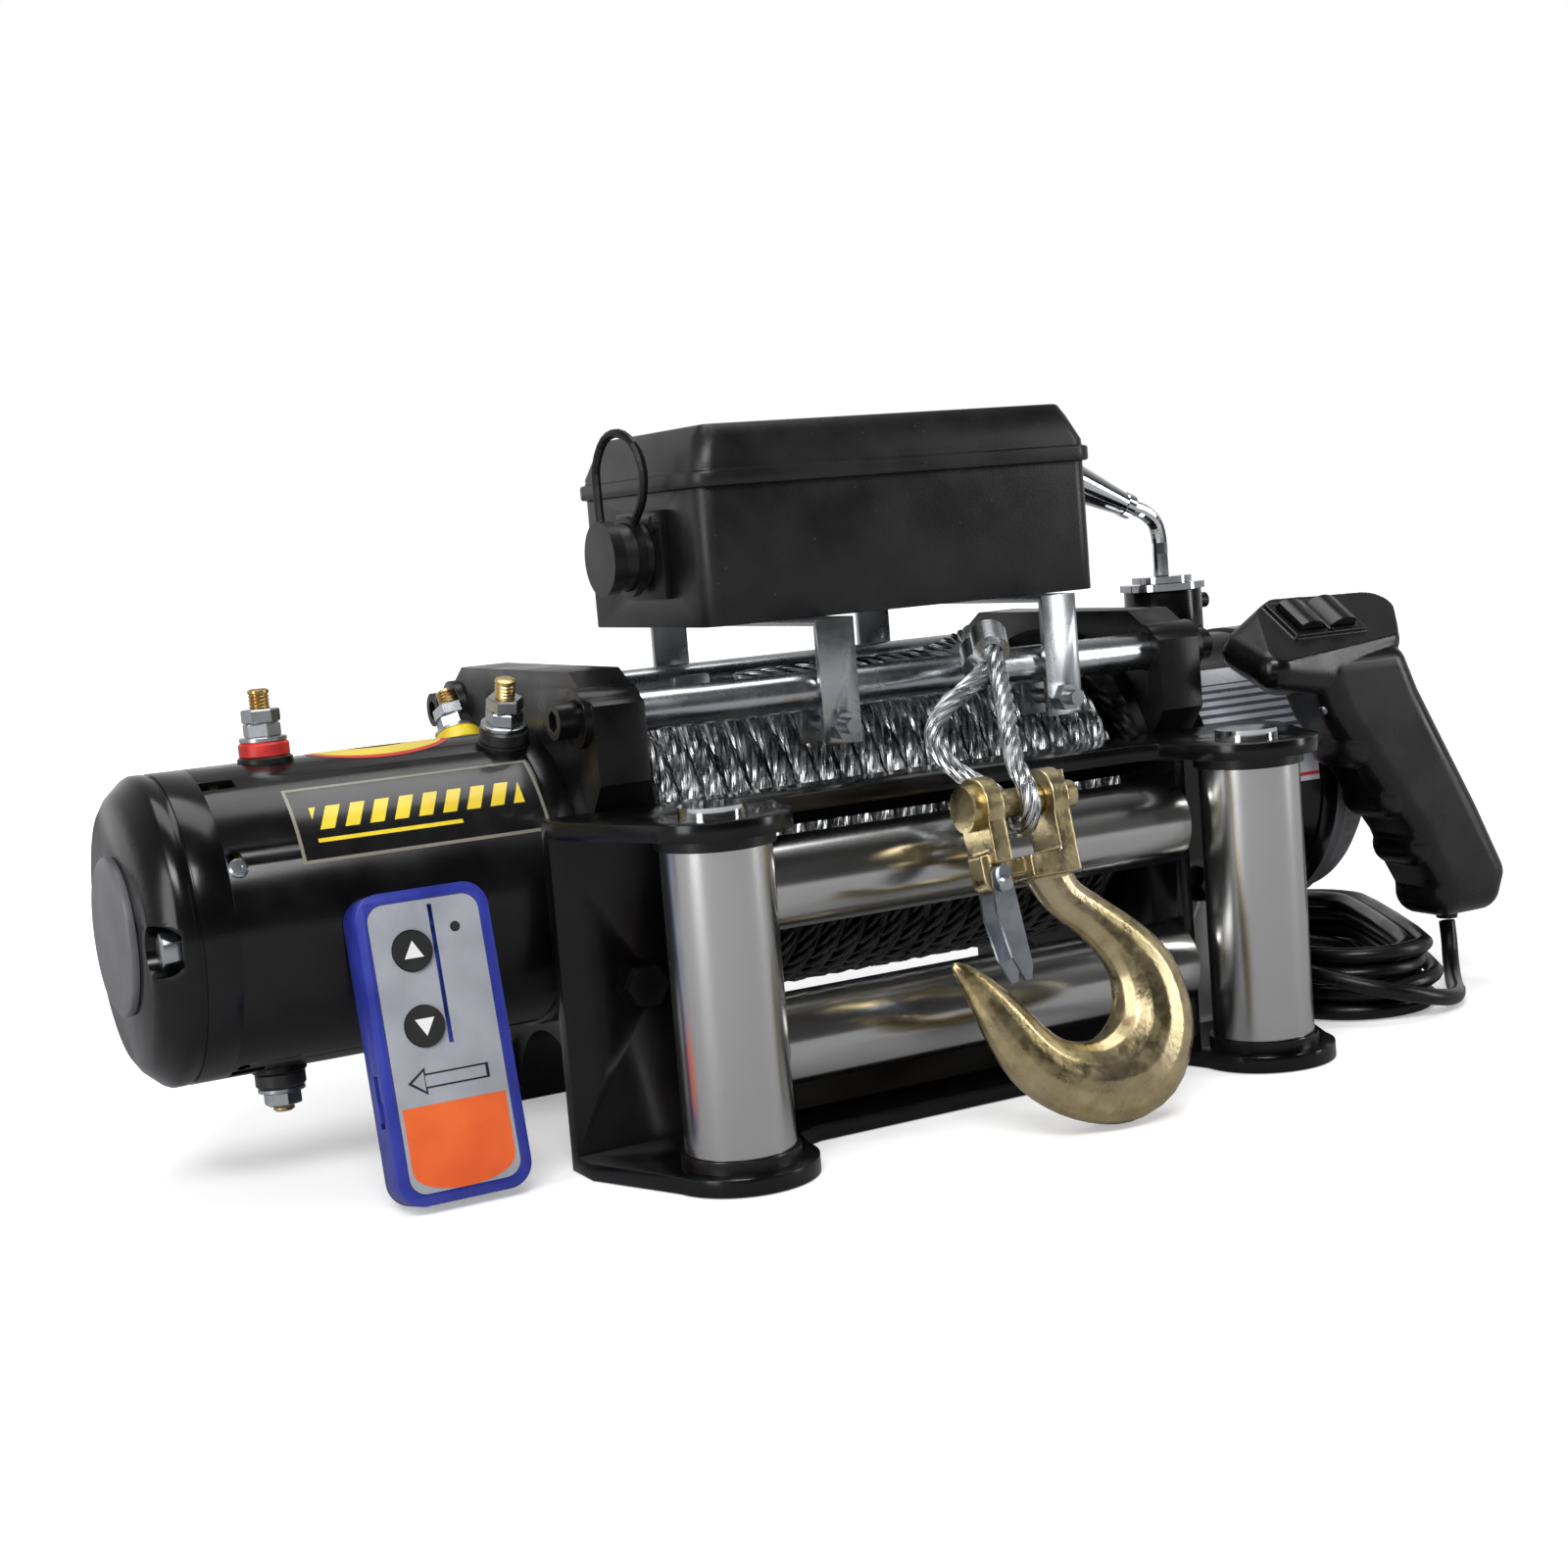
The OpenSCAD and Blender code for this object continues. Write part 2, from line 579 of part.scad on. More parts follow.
module gear_end_cover() color([0.13, 0.13, 0.14]) lathe([[gear_x1, ring_r], [gear_x1, gear_rim_r],
    [gear_x1 + 6, gear_rim_r], [gear_x1 + 8, gear_r - 1], [cover_x1 - 8, gear_r - 3],
    [cover_x1 - 2, gear_r - 8], [cover_x1, gear_r - 16], [cover_x1, 0], [cover_x1 - 5, 0],
    [cover_x1 - 5, gear_r - 18], [gear_x1 + 4, ring_r]]);

// Clutch
module clutch_housing() color([0.05, 0.05, 0.05]) difference() {
    union() {
        zbar(clutch_r, axis_z + gear_r - 6, clutch_z, clutch_x, 0);
        xbar(3.5, clutch_x + clutch_r - 3, clutch_x + clutch_r + 6, 0, clutch_z - 6);
    }
    xbar(gear_r, support_out, gear_x1);
    zbar(6 + run_gap, axis_z + gear_r - 9, clutch_z + over, clutch_x, 0);
}
lever_bend = [[0, 0, 0], [0, 0, 10], [0, 0, 17], [-2, 0, 24], [-8, 0, 29], [-15, 0, 31.5]];
module clutch_lever() translate([clutch_x, 0, clutch_z + run_gap]) {
    color("silver") {
        translate([0, 0, -18]) cylinder(r = 6, h = 18);
        cylinder(r = clutch_r + 1.5, h = 3);
        translate([0, 0, 3]) cylinder(r = clutch_r - 4, h = 3);
        translate([0, 0, 6]) sweep(smooth_route(lever_bend, 3),
            carried(smooth_route(lever_bend, 3), [0, 1, 0]), same(16, 3.4), 12);
    }
    color([0.1, 0.1, 0.1]) translate([-15, 0, 37.5]) rotate([0, -66, 0]) {
        cylinder(r = 5.5, h = 4);
        translate([0, 0, 4]) cylinder(r1 = 5, r2 = 9.5, h = 42);
    }
}

// Control box
module box_body() color([0.05, 0.05, 0.055]) difference() {
    round_block(box_x0, box_x1, box_y0, box_y1, box_z0, box_rim_z, box_corner);
    round_block(box_x0 + box_wall, box_x1 - box_wall, box_y0 + box_wall, box_y1 - box_wall,
        box_z0 + box_wall, box_rim_z + over, box_corner - box_wall);
    xbar(socket_r - 3, box_x0 - over, box_x0 + box_wall + over, socket_y, socket_z);
}
module lid_form(inset, top)
    hull() {
        for (x = [box_x0 + box_corner, box_x1 - box_corner], y = [box_y0 + box_corner, box_y1 - box_corner]) {
            translate([x, y, box_rim_z]) cylinder(r = box_corner - inset, h = 4, $fn = 32);
            translate([x + (x < 0 ? lid_taper : -lid_taper), y + (y < 0 ? lid_taper : -lid_taper), top - 5])
                cylinder(r1 = box_corner - inset, r2 = box_corner - inset - 3.5, h = 5, $fn = 32);
        }
    }
module box_lid() color([0.05, 0.05, 0.055]) difference() {
    union() {
        round_block(box_x0 - rim_out, box_x1 + rim_out, box_y0 - rim_out, box_y1 + rim_out,
            box_rim_z - rim_h, box_rim_z + 1.5, box_corner + rim_out);
        lid_form(0, box_top_z);
    }
    round_block(box_x0 - 0.1, box_x1 + 0.1, box_y0 - 0.1, box_y1 + 0.1, box_rim_z - rim_h - over,
        box_rim_z, box_corner);
    translate([0, 0, -box_wall]) lid_form(box_wall, box_top_z);
}
can_r = 17;
can_h = box_h * 0.75;
module contactor() color([0.75, 0.76, 0.78]) {
    for (i = [0 : 1]) {
        x = 10 + i * 42;
        zbar(can_r, box_z0 + box_wall, box_z0 + can_h, x, 20);
        for (s = [-1, 1]) zbar(3, box_z0 + can_h, box_z0 + can_h + 8, x + s * 10, 20);
    }
}
module receiver_board() color([0.05, 0.3, 0.12]) {
    block(-60, -14, -40, 40, box_z0 + 8, box_z0 + 9.6);
    for (x = [-54, -20], y = [-34, 34]) zbar(3, box_z0 + box_wall, box_z0 + 8, x, y);
    block(-50, -30, -20, 6, box_z0 + 9.6, box_z0 + 18);
    zbar(5, box_z0 + 9.6, box_z0 + 24, -26, -28);
}
// Straps that hold the box on the two tie bars
module box_brackets() color([0.75, 0.77, 0.8]) for (x = [strap_x_left, strap_x_right]) {
    difference() {
        union() {
            block(x - strap_w / 2, x + strap_w / 2, -strap_y, strap_y, box_z0 - strap_t, box_z0);
            for (s = [-1, 1]) block(x - strap_w / 2, x + strap_w / 2, s > 0 ? strap_y - strap_t : -strap_y,
                s > 0 ? strap_y : -strap_y + strap_t, tie_z - tie_r - 13, box_z0);
        }
        for (s = [-1, 1]) ybar(3.2, s > 0 ? strap_y - 9 : -strap_y - 9, s > 0 ? strap_y + 9 : -strap_y + 9,
            x, tie_z - tie_r - 6);
    }
    for (s = [-1, 1]) difference() {
        block(x - strap_w / 2, x + strap_w / 2, s * tie_y - (s < 0 ? tie_r : tie_r + 3), s * tie_y + (s < 0 ? tie_r + 3 : tie_r),
            tie_z - tie_r - 13, tie_z + 3);
        xbar(tie_r, x - strap_w, x + strap_w, s * tie_y, tie_z);
        block(x - strap_w, x + strap_w, s * tie_y - (s < 0 ? tie_r + 2 : tie_r), s * tie_y + (s < 0 ? tie_r : tie_r + 2),
            tie_z - tie_r - 14, tie_z + 9);
    }
}
module bracket_bolts() color([0.7, 0.72, 0.75]) for (x = [strap_x_left, strap_x_right], s = [-1, 1]) {
    y_out = s * strap_y;
    y_in = s * (tie_y - tie_r);
    z = tie_z - tie_r - 6;
    ybar(3, min(y_in, y_out), max(y_in, y_out), x, z);
    translate([x, s > 0 ? y_out : y_out - 4, z]) rotate([-90, 0, 0]) cylinder(r = 5.6, h = 4, $fn = 6);
    translate([x, s > 0 ? y_out : y_out - 9, z]) rotate([-90, 0, 0]) cylinder(r = 3, h = 9);
}
module handset_socket() color([0.04, 0.04, 0.04]) difference() {
    union() {
        block(box_x0 - 3, box_x0, socket_y - 20, socket_y + 20, socket_z - 17, socket_z + 17);
        xbar(socket_r, box_x0 - socket_len, box_x0 - 3, socket_y, socket_z);
        xbar(socket_r - 3.3, box_x0 - 3, box_x0 + box_wall + 3, socket_y, socket_z);
        for (s = [-1, 1]) xbar(3, box_x0 - 5, box_x0 - 3, socket_y + s * 16, socket_z - s * 12);
    }
    xbar(socket_r - 3, box_x0 - socket_len - over, box_x0 - 6, socket_y, socket_z);
}
cap_x = box_x0 - socket_len - run_gap;
tether_route = [[-92.6, -2, 226], [-92, 0, 238], [-91, 1, 250], [-89, -4, 259], [-87, -13, 261], [-85, -22, 256],
    [-83.5, -25, 246], [-83, -21, 235], [-83, -12.5, 227]];
module socket_cap() color([0.06, 0.06, 0.06]) {
    xbar(socket_r + 1.5, cap_x - cap_t, cap_x, socket_y, socket_z);
    xbar(socket_r - 3.5, cap_x, cap_x + 6, socket_y, socket_z);
    route = smooth_route(tether_route, 3);
    sweep(route, carried(route, [1, 0, 0]), same(len(route), 1.8), 8);
    xtube(socket_r + 2.6, socket_r + 0.4, -84.5, -81.5, socket_y, socket_z);
}

// Roller fairlead
module fair_flange_outline() {
    polygon([[-fair_half_l, -fair_back], [fair_half_l, -fair_back], [fair_half_l, -fair_front - 12],
        [vroller_x + lug_r * 0.8, -vroller_y - lug_r * 0.6], [vroller_x - lug_r * 0.8, -vroller_y - lug_r * 0.6],
        [vroller_x - lug_r - 4, -lip_y - 4], [vroller_x - lug_r - 14, -lip_y],
        [-vroller_x + lug_r + 14, -lip_y], [-vroller_x + lug_r + 4, -lip_y - 4],
        [-vroller_x + lug_r * 0.8, -vroller_y - lug_r * 0.6], [-vroller_x - lug_r * 0.8, -vroller_y - lug_r * 0.6],
        [-fair_half_l, -fair_front - 12]]);
    for (s = [-1, 1]) translate([s * vroller_x, -vroller_y]) circle(r = lug_r);
}
window_z0 = 24;
window_z1 = fair_h - 14;
module fairlead_frame() color([0.03, 0.03, 0.03]) difference() {
    union() {
        block(-fair_half_l, fair_half_l, -fair_front, -fair_back, 0, fair_h);
        for (z = [0, fair_h - fair_t]) translate([0, 0, z]) linear_extrude(fair_t) fair_flange_outline();
        for (s = [-1, 1]) block(s > 0 ? side_plate_x : -side_plate_x - 4.5, s > 0 ? side_plate_x + 4.5 : -side_plate_x,
            -hroller_y - 8, -fair_back, 0, fair_h);
    }
    block(-side_plate_x, side_plate_x, -fair_front - over, -fair_back + over, window_z0, window_z1);
    for (s = [-1, 1]) {
        zbar(pin_r, -over, fair_h + over, s * vroller_x, -vroller_y);
        ybar(4.5, -fair_front - over, -fair_back + over, s * foot_x, fair_bolt_z);
    }
    for (z = [hroller_z0, hroller_z1]) xbar(pin_r - 2, -side_plate_x - 9, side_plate_x + 9, -hroller_y, z);
}
module roller_pins() color([0.85, 0.86, 0.88]) {
    for (s = [-1, 1]) {
        zbar(pin_r, 0, fair_h, s * vroller_x, -vroller_y);
        zbar(pin_r + 4, fair_h, fair_h + 3.5, s * vroller_x, -vroller_y);
    }
    for (z = [hroller_z0, hroller_z1]) xbar(pin_r - 2, -side_plate_x - 4.5, side_plate_x + 4.5, -hroller_y, z);
}
module roller_bushes() color([0.05, 0.05, 0.05])
    for (s = [-1, 1], z = [fair_t, fair_h - fair_t - bush_ring_t]) translate([s * vroller_x, -vroller_y, z])
        difference() {
            cylinder(r = bush_ring_r, h = bush_ring_t);
            translate([0, 0, -over]) cylinder(r = pin_r, h = bush_ring_t + 2 * over);
        }
module vertical_roller(x) color([0.75, 0.76, 0.77]) difference() {
    zbar(vroller_r, fair_t + bush_ring_t + run_gap, fair_h - fair_t - bush_ring_t - run_gap, x, -vroller_y);
    zbar(pin_r + run_gap, 0, fair_h, x, -vroller_y);
}
module horizontal_roller(z) color([0.75, 0.76, 0.77]) difference() {
    xbar(hroller_r, -side_plate_x + run_gap, side_plate_x - run_gap, -hroller_y, z);
    xbar(pin_r - 2 + run_gap, -side_plate_x, side_plate_x, -hroller_y, z);
}
module roller_left() vertical_roller(-vroller_x);
module roller_right() vertical_roller(vroller_x);
module roller_upper() horizontal_roller(hroller_z1);
module roller_lower() horizontal_roller(hroller_z0);

// Hook, drawn about its clevis pin; points are [across, down, half width of the steel]
hook_line = [[7, -23, 9], [12.3, -34.3, 8], [21, -42.2, 8], [28.4, -49.3, 9.1], [34.6, -57, 11],
    [38.8, -65.4, 13.1], [40, -75.6, 14.8], [37.4, -86.4, 16.4], [30, -95.4, 17.2], [19.4, -99.2, 16.2],
    [8, -98.6, 14], [-3.6, -94, 12.4], [-12.6, -86, 11.2], [-20.6, -73, 9.2], [-28.6, -59.4, 5.5],
    [-34, -52.8, 2.7], [-36, -50.8, 0.9]];
// The steel is flatter across the hook than along its curve
hook_flat = 0.72;
ear_in = 10;
ear_t = 6.8;
ear_floor = -19;
ear_r = 10.5;
clevis_r = 5;
module at_hook() translate([hook_x, -hook_y, hook_z]) rotate([-hook_lean, 0, 0]) scale(hook_scale) children();
module hook() color([0.75, 0.6, 0.3]) at_hook() {
    line = smooth_route([for (p = hook_line) [p[0], 0, p[1]]], 3);
    width = smooth_route([for (p = hook_line) [p[2], 0, 0]], 3);
    sweep(line, same(len(line), [0, 1, 0]), [for (w = width) w[0] * hook_flat], 16, 1 / hook_flat);
    difference() {
        union() {
            for (s = [-1, 1]) {
                xbar_at(ear_r, s > 0 ? ear_in : -ear_in - ear_t, ear_t);
                translate([s > 0 ? ear_in : -ear_in - ear_t, -ear_r + 1.5, -20]) cube([ear_t, 2 * ear_r - 3, 20]);
            }
            translate([-3, -ear_r + 1.5, ear_floor - 8]) cube([ear_in + ear_t + 3, 2 * ear_r - 3, 10]);
            translate([latch_x, lug_half, latch_z]) rotate([90, 0, 0]) cylinder(r = 5.5, h = 2 * lug_half);
            translate([latch_x - 5.5, -lug_half, latch_z]) cube([20, 2 * lug_half, 8]);
        }
        translate([latch_x, ear_r, latch_z]) rotate([90, 0, 0]) cylinder(r = 2.5, h = 2 * ear_r);
        xbar_at(clevis_r + 0.1, -30, 60);
        translate([-ear_in, -ear_r - over, ear_floor]) cube([2 * ear_in, 2 * ear_r + 2 * over, 32]);
    }
}
module xbar_at(r, x, l) translate([x, 0, 0]) rotate([0, 90, 0]) cylinder(r = r, h = l);
module clevis_pin() color([0.8, 0.65, 0.35]) at_hook() {
    xbar_at(clevis_r, -ear_in - ear_t - 1, 2 * ear_in + 2 * ear_t + 8);
    xbar_at(clevis_r + 3, -ear_in - ear_t - 4, 4);
    translate([ear_in + ear_t + 4.5, 0, -9]) cylinder(r = 1.3, h = 18);
}
latch_x = -14.5;
latch_z = -24.5;
lug_half = 4.5;
latch_gap = 0.4;
latch_t = 1.5;
latch_line = [[-6, 2], [-3, 3.4], [3, 3.4], [6, 1], [8, -16], [10, -32], [8, -36], [4, -36.5],
    [-2, -28], [-7, -12]];
module hook_latch() color([0.75, 0.77, 0.8]) at_hook() translate([latch_x, 0, latch_z]) {
    for (e = [-1, 1]) translate([0, e > 0 ? lug_half + latch_gap + latch_t : -lug_half - latch_gap, 0])
        rotate([90, 0, 0]) linear_extrude(latch_t) polygon(latch_line);
    translate([1, -lug_half - latch_gap, -28]) cube([5, 2 * lug_half + 2 * latch_gap, 14]);
    translate([0, 8, 0]) rotate([90, 0, 0]) cylinder(r = 2.42, h = 16);
    for (e = [-1, 1]) translate([0, e > 0 ? 9 : -6.4, 0]) rotate([90, 0, 0]) cylinder(r = 4, h = 2.6);
}

// Handset: a pistol grip that stands over its cord and leans on the gearbox rim
grip_half = handset_t / 2 - 2;
handset_y = gear_rim_r + run_gap + grip_half;
// Head corners: along, across from the middle, height, radius
head_balls = [[160, -10, 147, 9], [222, -3, 153, 9], [161, 10, 154, 9], [184, 10, 168, 9], [231, 9, 166, 9],
    [227, 7, 148, 11], [184, -8, 143, 9], [176, 8, 142, 8]];
// Grip sections: height, left edge, right edge
grip_rows = [[142, 179, 230], [128, 185, 236], [110, 198, 246], [90, 212, 257], [75, 223, 265.5], [60, 230, 273],
    [48, 237, 279], [41.5, 237, 276.5]];
grip_r = 10;
// Finger bumps: along, height, radius
finger_bumps = [[202.4, 111, 10], [218.6, 87, 9], [234, 64, 9]];
module head_form() hull() for (b = head_balls)
    translate([b[0], b[1] - handset_y, b[2]]) sphere(r = b[3], $fn = 24);
module grip_row(g) for (x = [g[1] + grip_r, g[2] - grip_r], s = [-1, 1])
    translate([x, -handset_y + s * (grip_half - grip_r), g[0]]) sphere(r = grip_r, $fn = 24);
module handset_shell() color([0.03, 0.03, 0.03]) difference() {
    union() {
        difference() {
            union() {
                head_form();
                for (i = [0 : len(grip_rows) - 2]) hull() {
                    grip_row(grip_rows[i]);
                    grip_row(grip_rows[i + 1]);
                }
                for (f = finger_bumps) hull() for (s = [-1, 1])
                    translate([f[0], -handset_y + s * (grip_half - f[2] - 1), f[1]]) sphere(r = f[2], $fn = 24);
            }
            rocker_place() translate([-90, -60, -face_drop]) cube([180, 120, 60]);
        }
        rocker_place() translate([-19, -12, -6]) cube([38, 24, 6.6]);
    }
    rocker_place() {
        translate([-15.4, -9, -8]) cube([30.8, 18, 30]);
        translate([0, 11, 0]) rotate([90, 0, 0]) cylinder(r = 1.3, h = 22);
    }
    rod_between(relief_base, relief_tip, relief_r, cord_d / 2 + 1);
}
// The sloped face lies this far below the rocker's hinge
face_drop = 1.3;
rocker_tilt = 34;
module rocker_place() translate([193, -handset_y + 1.8, 165.5]) rotate([rocker_tilt, 0, 0]) children();
module handset_rocker() color([0.05, 0.05, 0.05]) rocker_place() {
    intersection() {
        translate([-14.5, -8.5, -4.5]) cube([29, 17, 10]);
        for (x = [-9, 9]) translate([x, 9, -6.5]) rotate([90, 0, 0]) cylinder(r = 11, h = 18);
    }
    translate([0, 10.5, 0]) rotate([90, 0, 0]) cylinder(r = 1.25, h = 21);
}
relief_base = [260.4, -76.3, 41];
relief_tip = [260.3, -76, 27.6];
relief_r = 6;
module strain_relief() color([0.04, 0.04, 0.04]) rod_between(relief_base, relief_tip, relief_r, cord_d / 2 + 1);

// Cord: a free run from the strain relief, then an oval coil on the ground.
// Coil points are given in its own axes: across, along, height
hank_x = 222;
hank_y = -42;
hank_turn = 62.5;
hank_turns = 7;
hank_run = 45;
hank_fold_r = 20.4;
hank_pitch = cord_d + 0.5;
layer_step = cord_d + 0.5;
hank_steps = 24;
layer_turns = hank_turns / 4;
function hank_at(p) = [hank_x + p[0] * sin(hank_turn) + p[1] * cos(hank_turn),
    hank_y - p[0] * cos(hank_turn) + p[1] * sin(hank_turn), p[2]];
function fold(t) = let (m = t % (2 * layer_turns)) abs(layer_turns - m);
function climb(t) = let (n = floor((t + 0.25) / layer_turns), d = t + 0.25 - n * layer_turns)
    n <= 0 ? 0 : min(n, 3) - (n <= 3 && d < 0.5 ? 1 - d / 0.5 : 0);
function loop_point(t) = let (u = t * 360 + 180, r = hank_fold_r + hank_pitch * fold(t),
        side = sin(u) > 0 ? 1 : -1, push = abs(sin(u)) < 0.26 ? sin(u) / 0.26 : side)
    hank_at([r * cos(u), push * hank_run + r * sin(u), cord_d / 2 + layer_step * climb(t)]);
// The straight start of the coil comes down from the connector to the ground
hank_lead = [[-39, 66, 9], [-38.6, 60, 8.6], [-37, 50, 6.6], [-35, 38, 4.2], [-33.8, 24, 3.5], [-33.5, 12, 3.5]];
hank_path = concat([for (p = hank_lead) hank_at(p)],
    [for (i = [0 : hank_turns * hank_steps]) loop_point(i / hank_steps)]);
hank_gap = min([for (i = [0 : len(hank_path) - 1])
    for (j = [i + 12 : len(hank_path) - 1]) norm(hank_path[i] - hank_path[j])]) - cord_d;
echo("least gap of the hank to itself", hank_gap);
module cord_hank() color([0.03, 0.03, 0.03])
    sweep(hank_path, same(len(hank_path), [0, 0, 1]), same(len(hank_path), cord_d / 2), 6);
cord_route = [[49.5, -12.6, 26], [49.2, -15.6, 19], [47.8, -21.4, 11.4], [45.6, -30.5, 6.2], [43, -42, 4],
    [40.4, -54.5, 4], [34.8, -67.5, 4.8], [25, -77.8, 7.4], [12, -84.2, 11.2], [-2, -85.6, 15], [-15.5, -80.5, 18.6],
    [-26, -71, 21.4], [-32.5, -58, 23.4], [-34.6, -44, 24.6], [-34.6, -28, 25.2], [-34, -14, 25.7], [-33.5, -0.4, 26]];
cord_path = smooth_route([for (p = cord_route) hank_at(p)], 3);
module handset_cord() color([0.03, 0.03, 0.03])
    sweep(cord_path, carried(cord_path, [1, 0, 0]), same(len(cord_path), cord_d / 2), 8);
connector_r = 9;
connector_len = 34;
module cord_connector() color([0.04, 0.04, 0.04])
    translate(hank_at([hank_lead[0][0], hank_lead[0][1] + 0.2, 0])) rotate([0, 0, hank_turn - 90]) {
        ybar(connector_r, 4, connector_len, 0, connector_r);
        translate([0, 4, connector_r]) rotate([90, 0, 0]) cylinder(r1 = connector_r - 2, r2 = cord_d / 2 + 1, h = 4);
        ybar(connector_r - 2, connector_len, connector_len + 7, 0, connector_r);
    }

// Pocket remote that leans on the motor
remote_x = -226.5;
remote_y = -93.4;
module at_remote() translate([remote_x, remote_y, remote_t * sin(remote_lean)]) rotate([-remote_lean, 0, 0])
    children();
// A plate standing in the remote's face plane with rounded corners
module face_plate(x0, x1, z0, z1, y0, y1, r)
    translate([0, y1, 0]) rotate([90, 0, 0]) round_block(x0, x1, z0, z1, 0, y1 - y0, r);
button_r = 7;
button_x = 18;
button_z_up = 86;
button_z_down = 60;
module remote_body() color([0.08, 0.12, 0.5]) at_remote() difference() {
    face_plate(0, remote_w, 0, remote_h, 0.6, remote_t, 9);
    face_plate(4, remote_w - 4, 4, remote_h - 4, 0, 3, 6);
    for (z = [button_z_up, button_z_down]) translate([button_x, 9, z]) rotate([90, 0, 0])
        cylinder(r = button_r + run_gap, h = 9);
    translate([-over, 5, 28]) cube([3, 5, 18]);
}
module remote_face() color([0.6, 0.62, 0.66]) at_remote() difference() {
    face_plate(4.1, remote_w - 4.1, 4.1, remote_h - 4.1, 0.4, 2.9, 5.9);
    for (z = [button_z_up, button_z_down]) translate([button_x, 9, z]) rotate([90, 0, 0])
        cylinder(r = button_r + run_gap, h = 18);
}
module remote_button(z) color([0.05, 0.05, 0.05]) at_remote() translate([button_x, 5, z])
    rotate([90, 0, 0]) cylinder(r = button_r, h = 5.8);
module remote_up() remote_button(button_z_up);
module remote_down() remote_button(button_z_down);
module remote_switch() color([0.05, 0.05, 0.2]) at_remote() translate([-1, 5.4, 30]) cube([2.6, 4.2, 7]);

motor_case();
motor_end_cap();
end_plug();
through_bolts();
pole_shoes();
field_windings();
brush_ring();
terminal_studs();
terminal_insulators();
drum_support_motor();
drum_support_gear();
tie_bars();
support_bolts();
drum_bushes();
gear_housing();
gear_end_cover();
ring_gear();
clutch_housing();
box_body();
box_lid();
contactor();
receiver_board();
box_brackets();
bracket_bolts();
handset_socket();
fairlead_frame();
roller_pins();
roller_bushes();
rope_lead();
eye_fittings();
handset_shell();
strain_relief();
handset_cord();
cord_hank();
cord_connector();
remote_body();
remote_face();
drive_shaft();
armature_core();
armature_copper();
brake_cone();
carrier_first();
carrier_second();
carrier_third();
drum();
rope_core();
rope_winding();
clutch_lever();
roller_left();
roller_right();
roller_upper();
roller_lower();
hook();
clevis_pin();
hook_latch();
handset_rocker();
remote_up();
remote_down();
remote_switch();
socket_cap();
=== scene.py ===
"""Electric drum winch: looks, ropes, cord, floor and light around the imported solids."""

import json
from math import cos, degrees, floor, pi, radians, sin, tau

import bpy
import numpy as np
from mathutils import Matrix, Vector

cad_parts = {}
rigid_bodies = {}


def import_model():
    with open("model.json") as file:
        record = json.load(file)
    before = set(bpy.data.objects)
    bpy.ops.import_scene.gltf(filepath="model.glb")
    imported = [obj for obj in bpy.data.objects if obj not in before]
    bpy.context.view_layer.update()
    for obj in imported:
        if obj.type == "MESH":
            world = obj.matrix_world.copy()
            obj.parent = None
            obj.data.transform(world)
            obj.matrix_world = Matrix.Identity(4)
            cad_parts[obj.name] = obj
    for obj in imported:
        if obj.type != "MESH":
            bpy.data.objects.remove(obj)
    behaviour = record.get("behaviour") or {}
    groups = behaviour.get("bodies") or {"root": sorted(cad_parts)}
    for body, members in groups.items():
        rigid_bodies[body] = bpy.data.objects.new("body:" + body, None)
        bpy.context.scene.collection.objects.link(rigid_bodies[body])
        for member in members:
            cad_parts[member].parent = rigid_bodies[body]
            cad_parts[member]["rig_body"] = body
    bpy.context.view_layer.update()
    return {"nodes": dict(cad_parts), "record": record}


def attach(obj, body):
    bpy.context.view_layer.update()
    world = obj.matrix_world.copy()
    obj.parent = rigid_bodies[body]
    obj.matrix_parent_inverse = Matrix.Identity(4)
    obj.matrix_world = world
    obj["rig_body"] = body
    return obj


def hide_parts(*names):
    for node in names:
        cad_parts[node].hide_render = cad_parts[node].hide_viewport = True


MM = 0.001
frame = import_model()
bpy.ops.object.select_all(action="DESELECT")
scene = bpy.context.scene
nodes = frame["nodes"]
body_of_node = {n: o["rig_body"] for n, o in nodes.items()}
slot_of_node = {p["node"]: p["material_slot"] for p in frame["record"]["subparts"]}


# Camera

CAMERA_PLACE = Vector((-0.44933, -0.82132, 0.22086))
CAMERA_RIGHT = Vector((0.87962438, -0.46870545, -0.08109353))
CAMERA_UP = Vector((0.12374914, 0.06087862, 0.99044432))
LENS_MM = 52.6077
SENSOR_MM = 36


def place_camera():
    data = bpy.data.cameras.new("photo_camera")
    data.lens = LENS_MM
    data.sensor_width = SENSOR_MM
    data.clip_start, data.clip_end = 0.05, 30
    camera = bpy.data.objects.new("photo_camera", data)
    scene.collection.objects.link(camera)
    turn = Matrix((CAMERA_RIGHT, CAMERA_UP, CAMERA_RIGHT.cross(CAMERA_UP))).transposed()
    camera.matrix_world = Matrix.Translation(CAMERA_PLACE) @ turn.to_4x4()
    scene.camera = camera


place_camera()


# Node groups that more than one finish uses


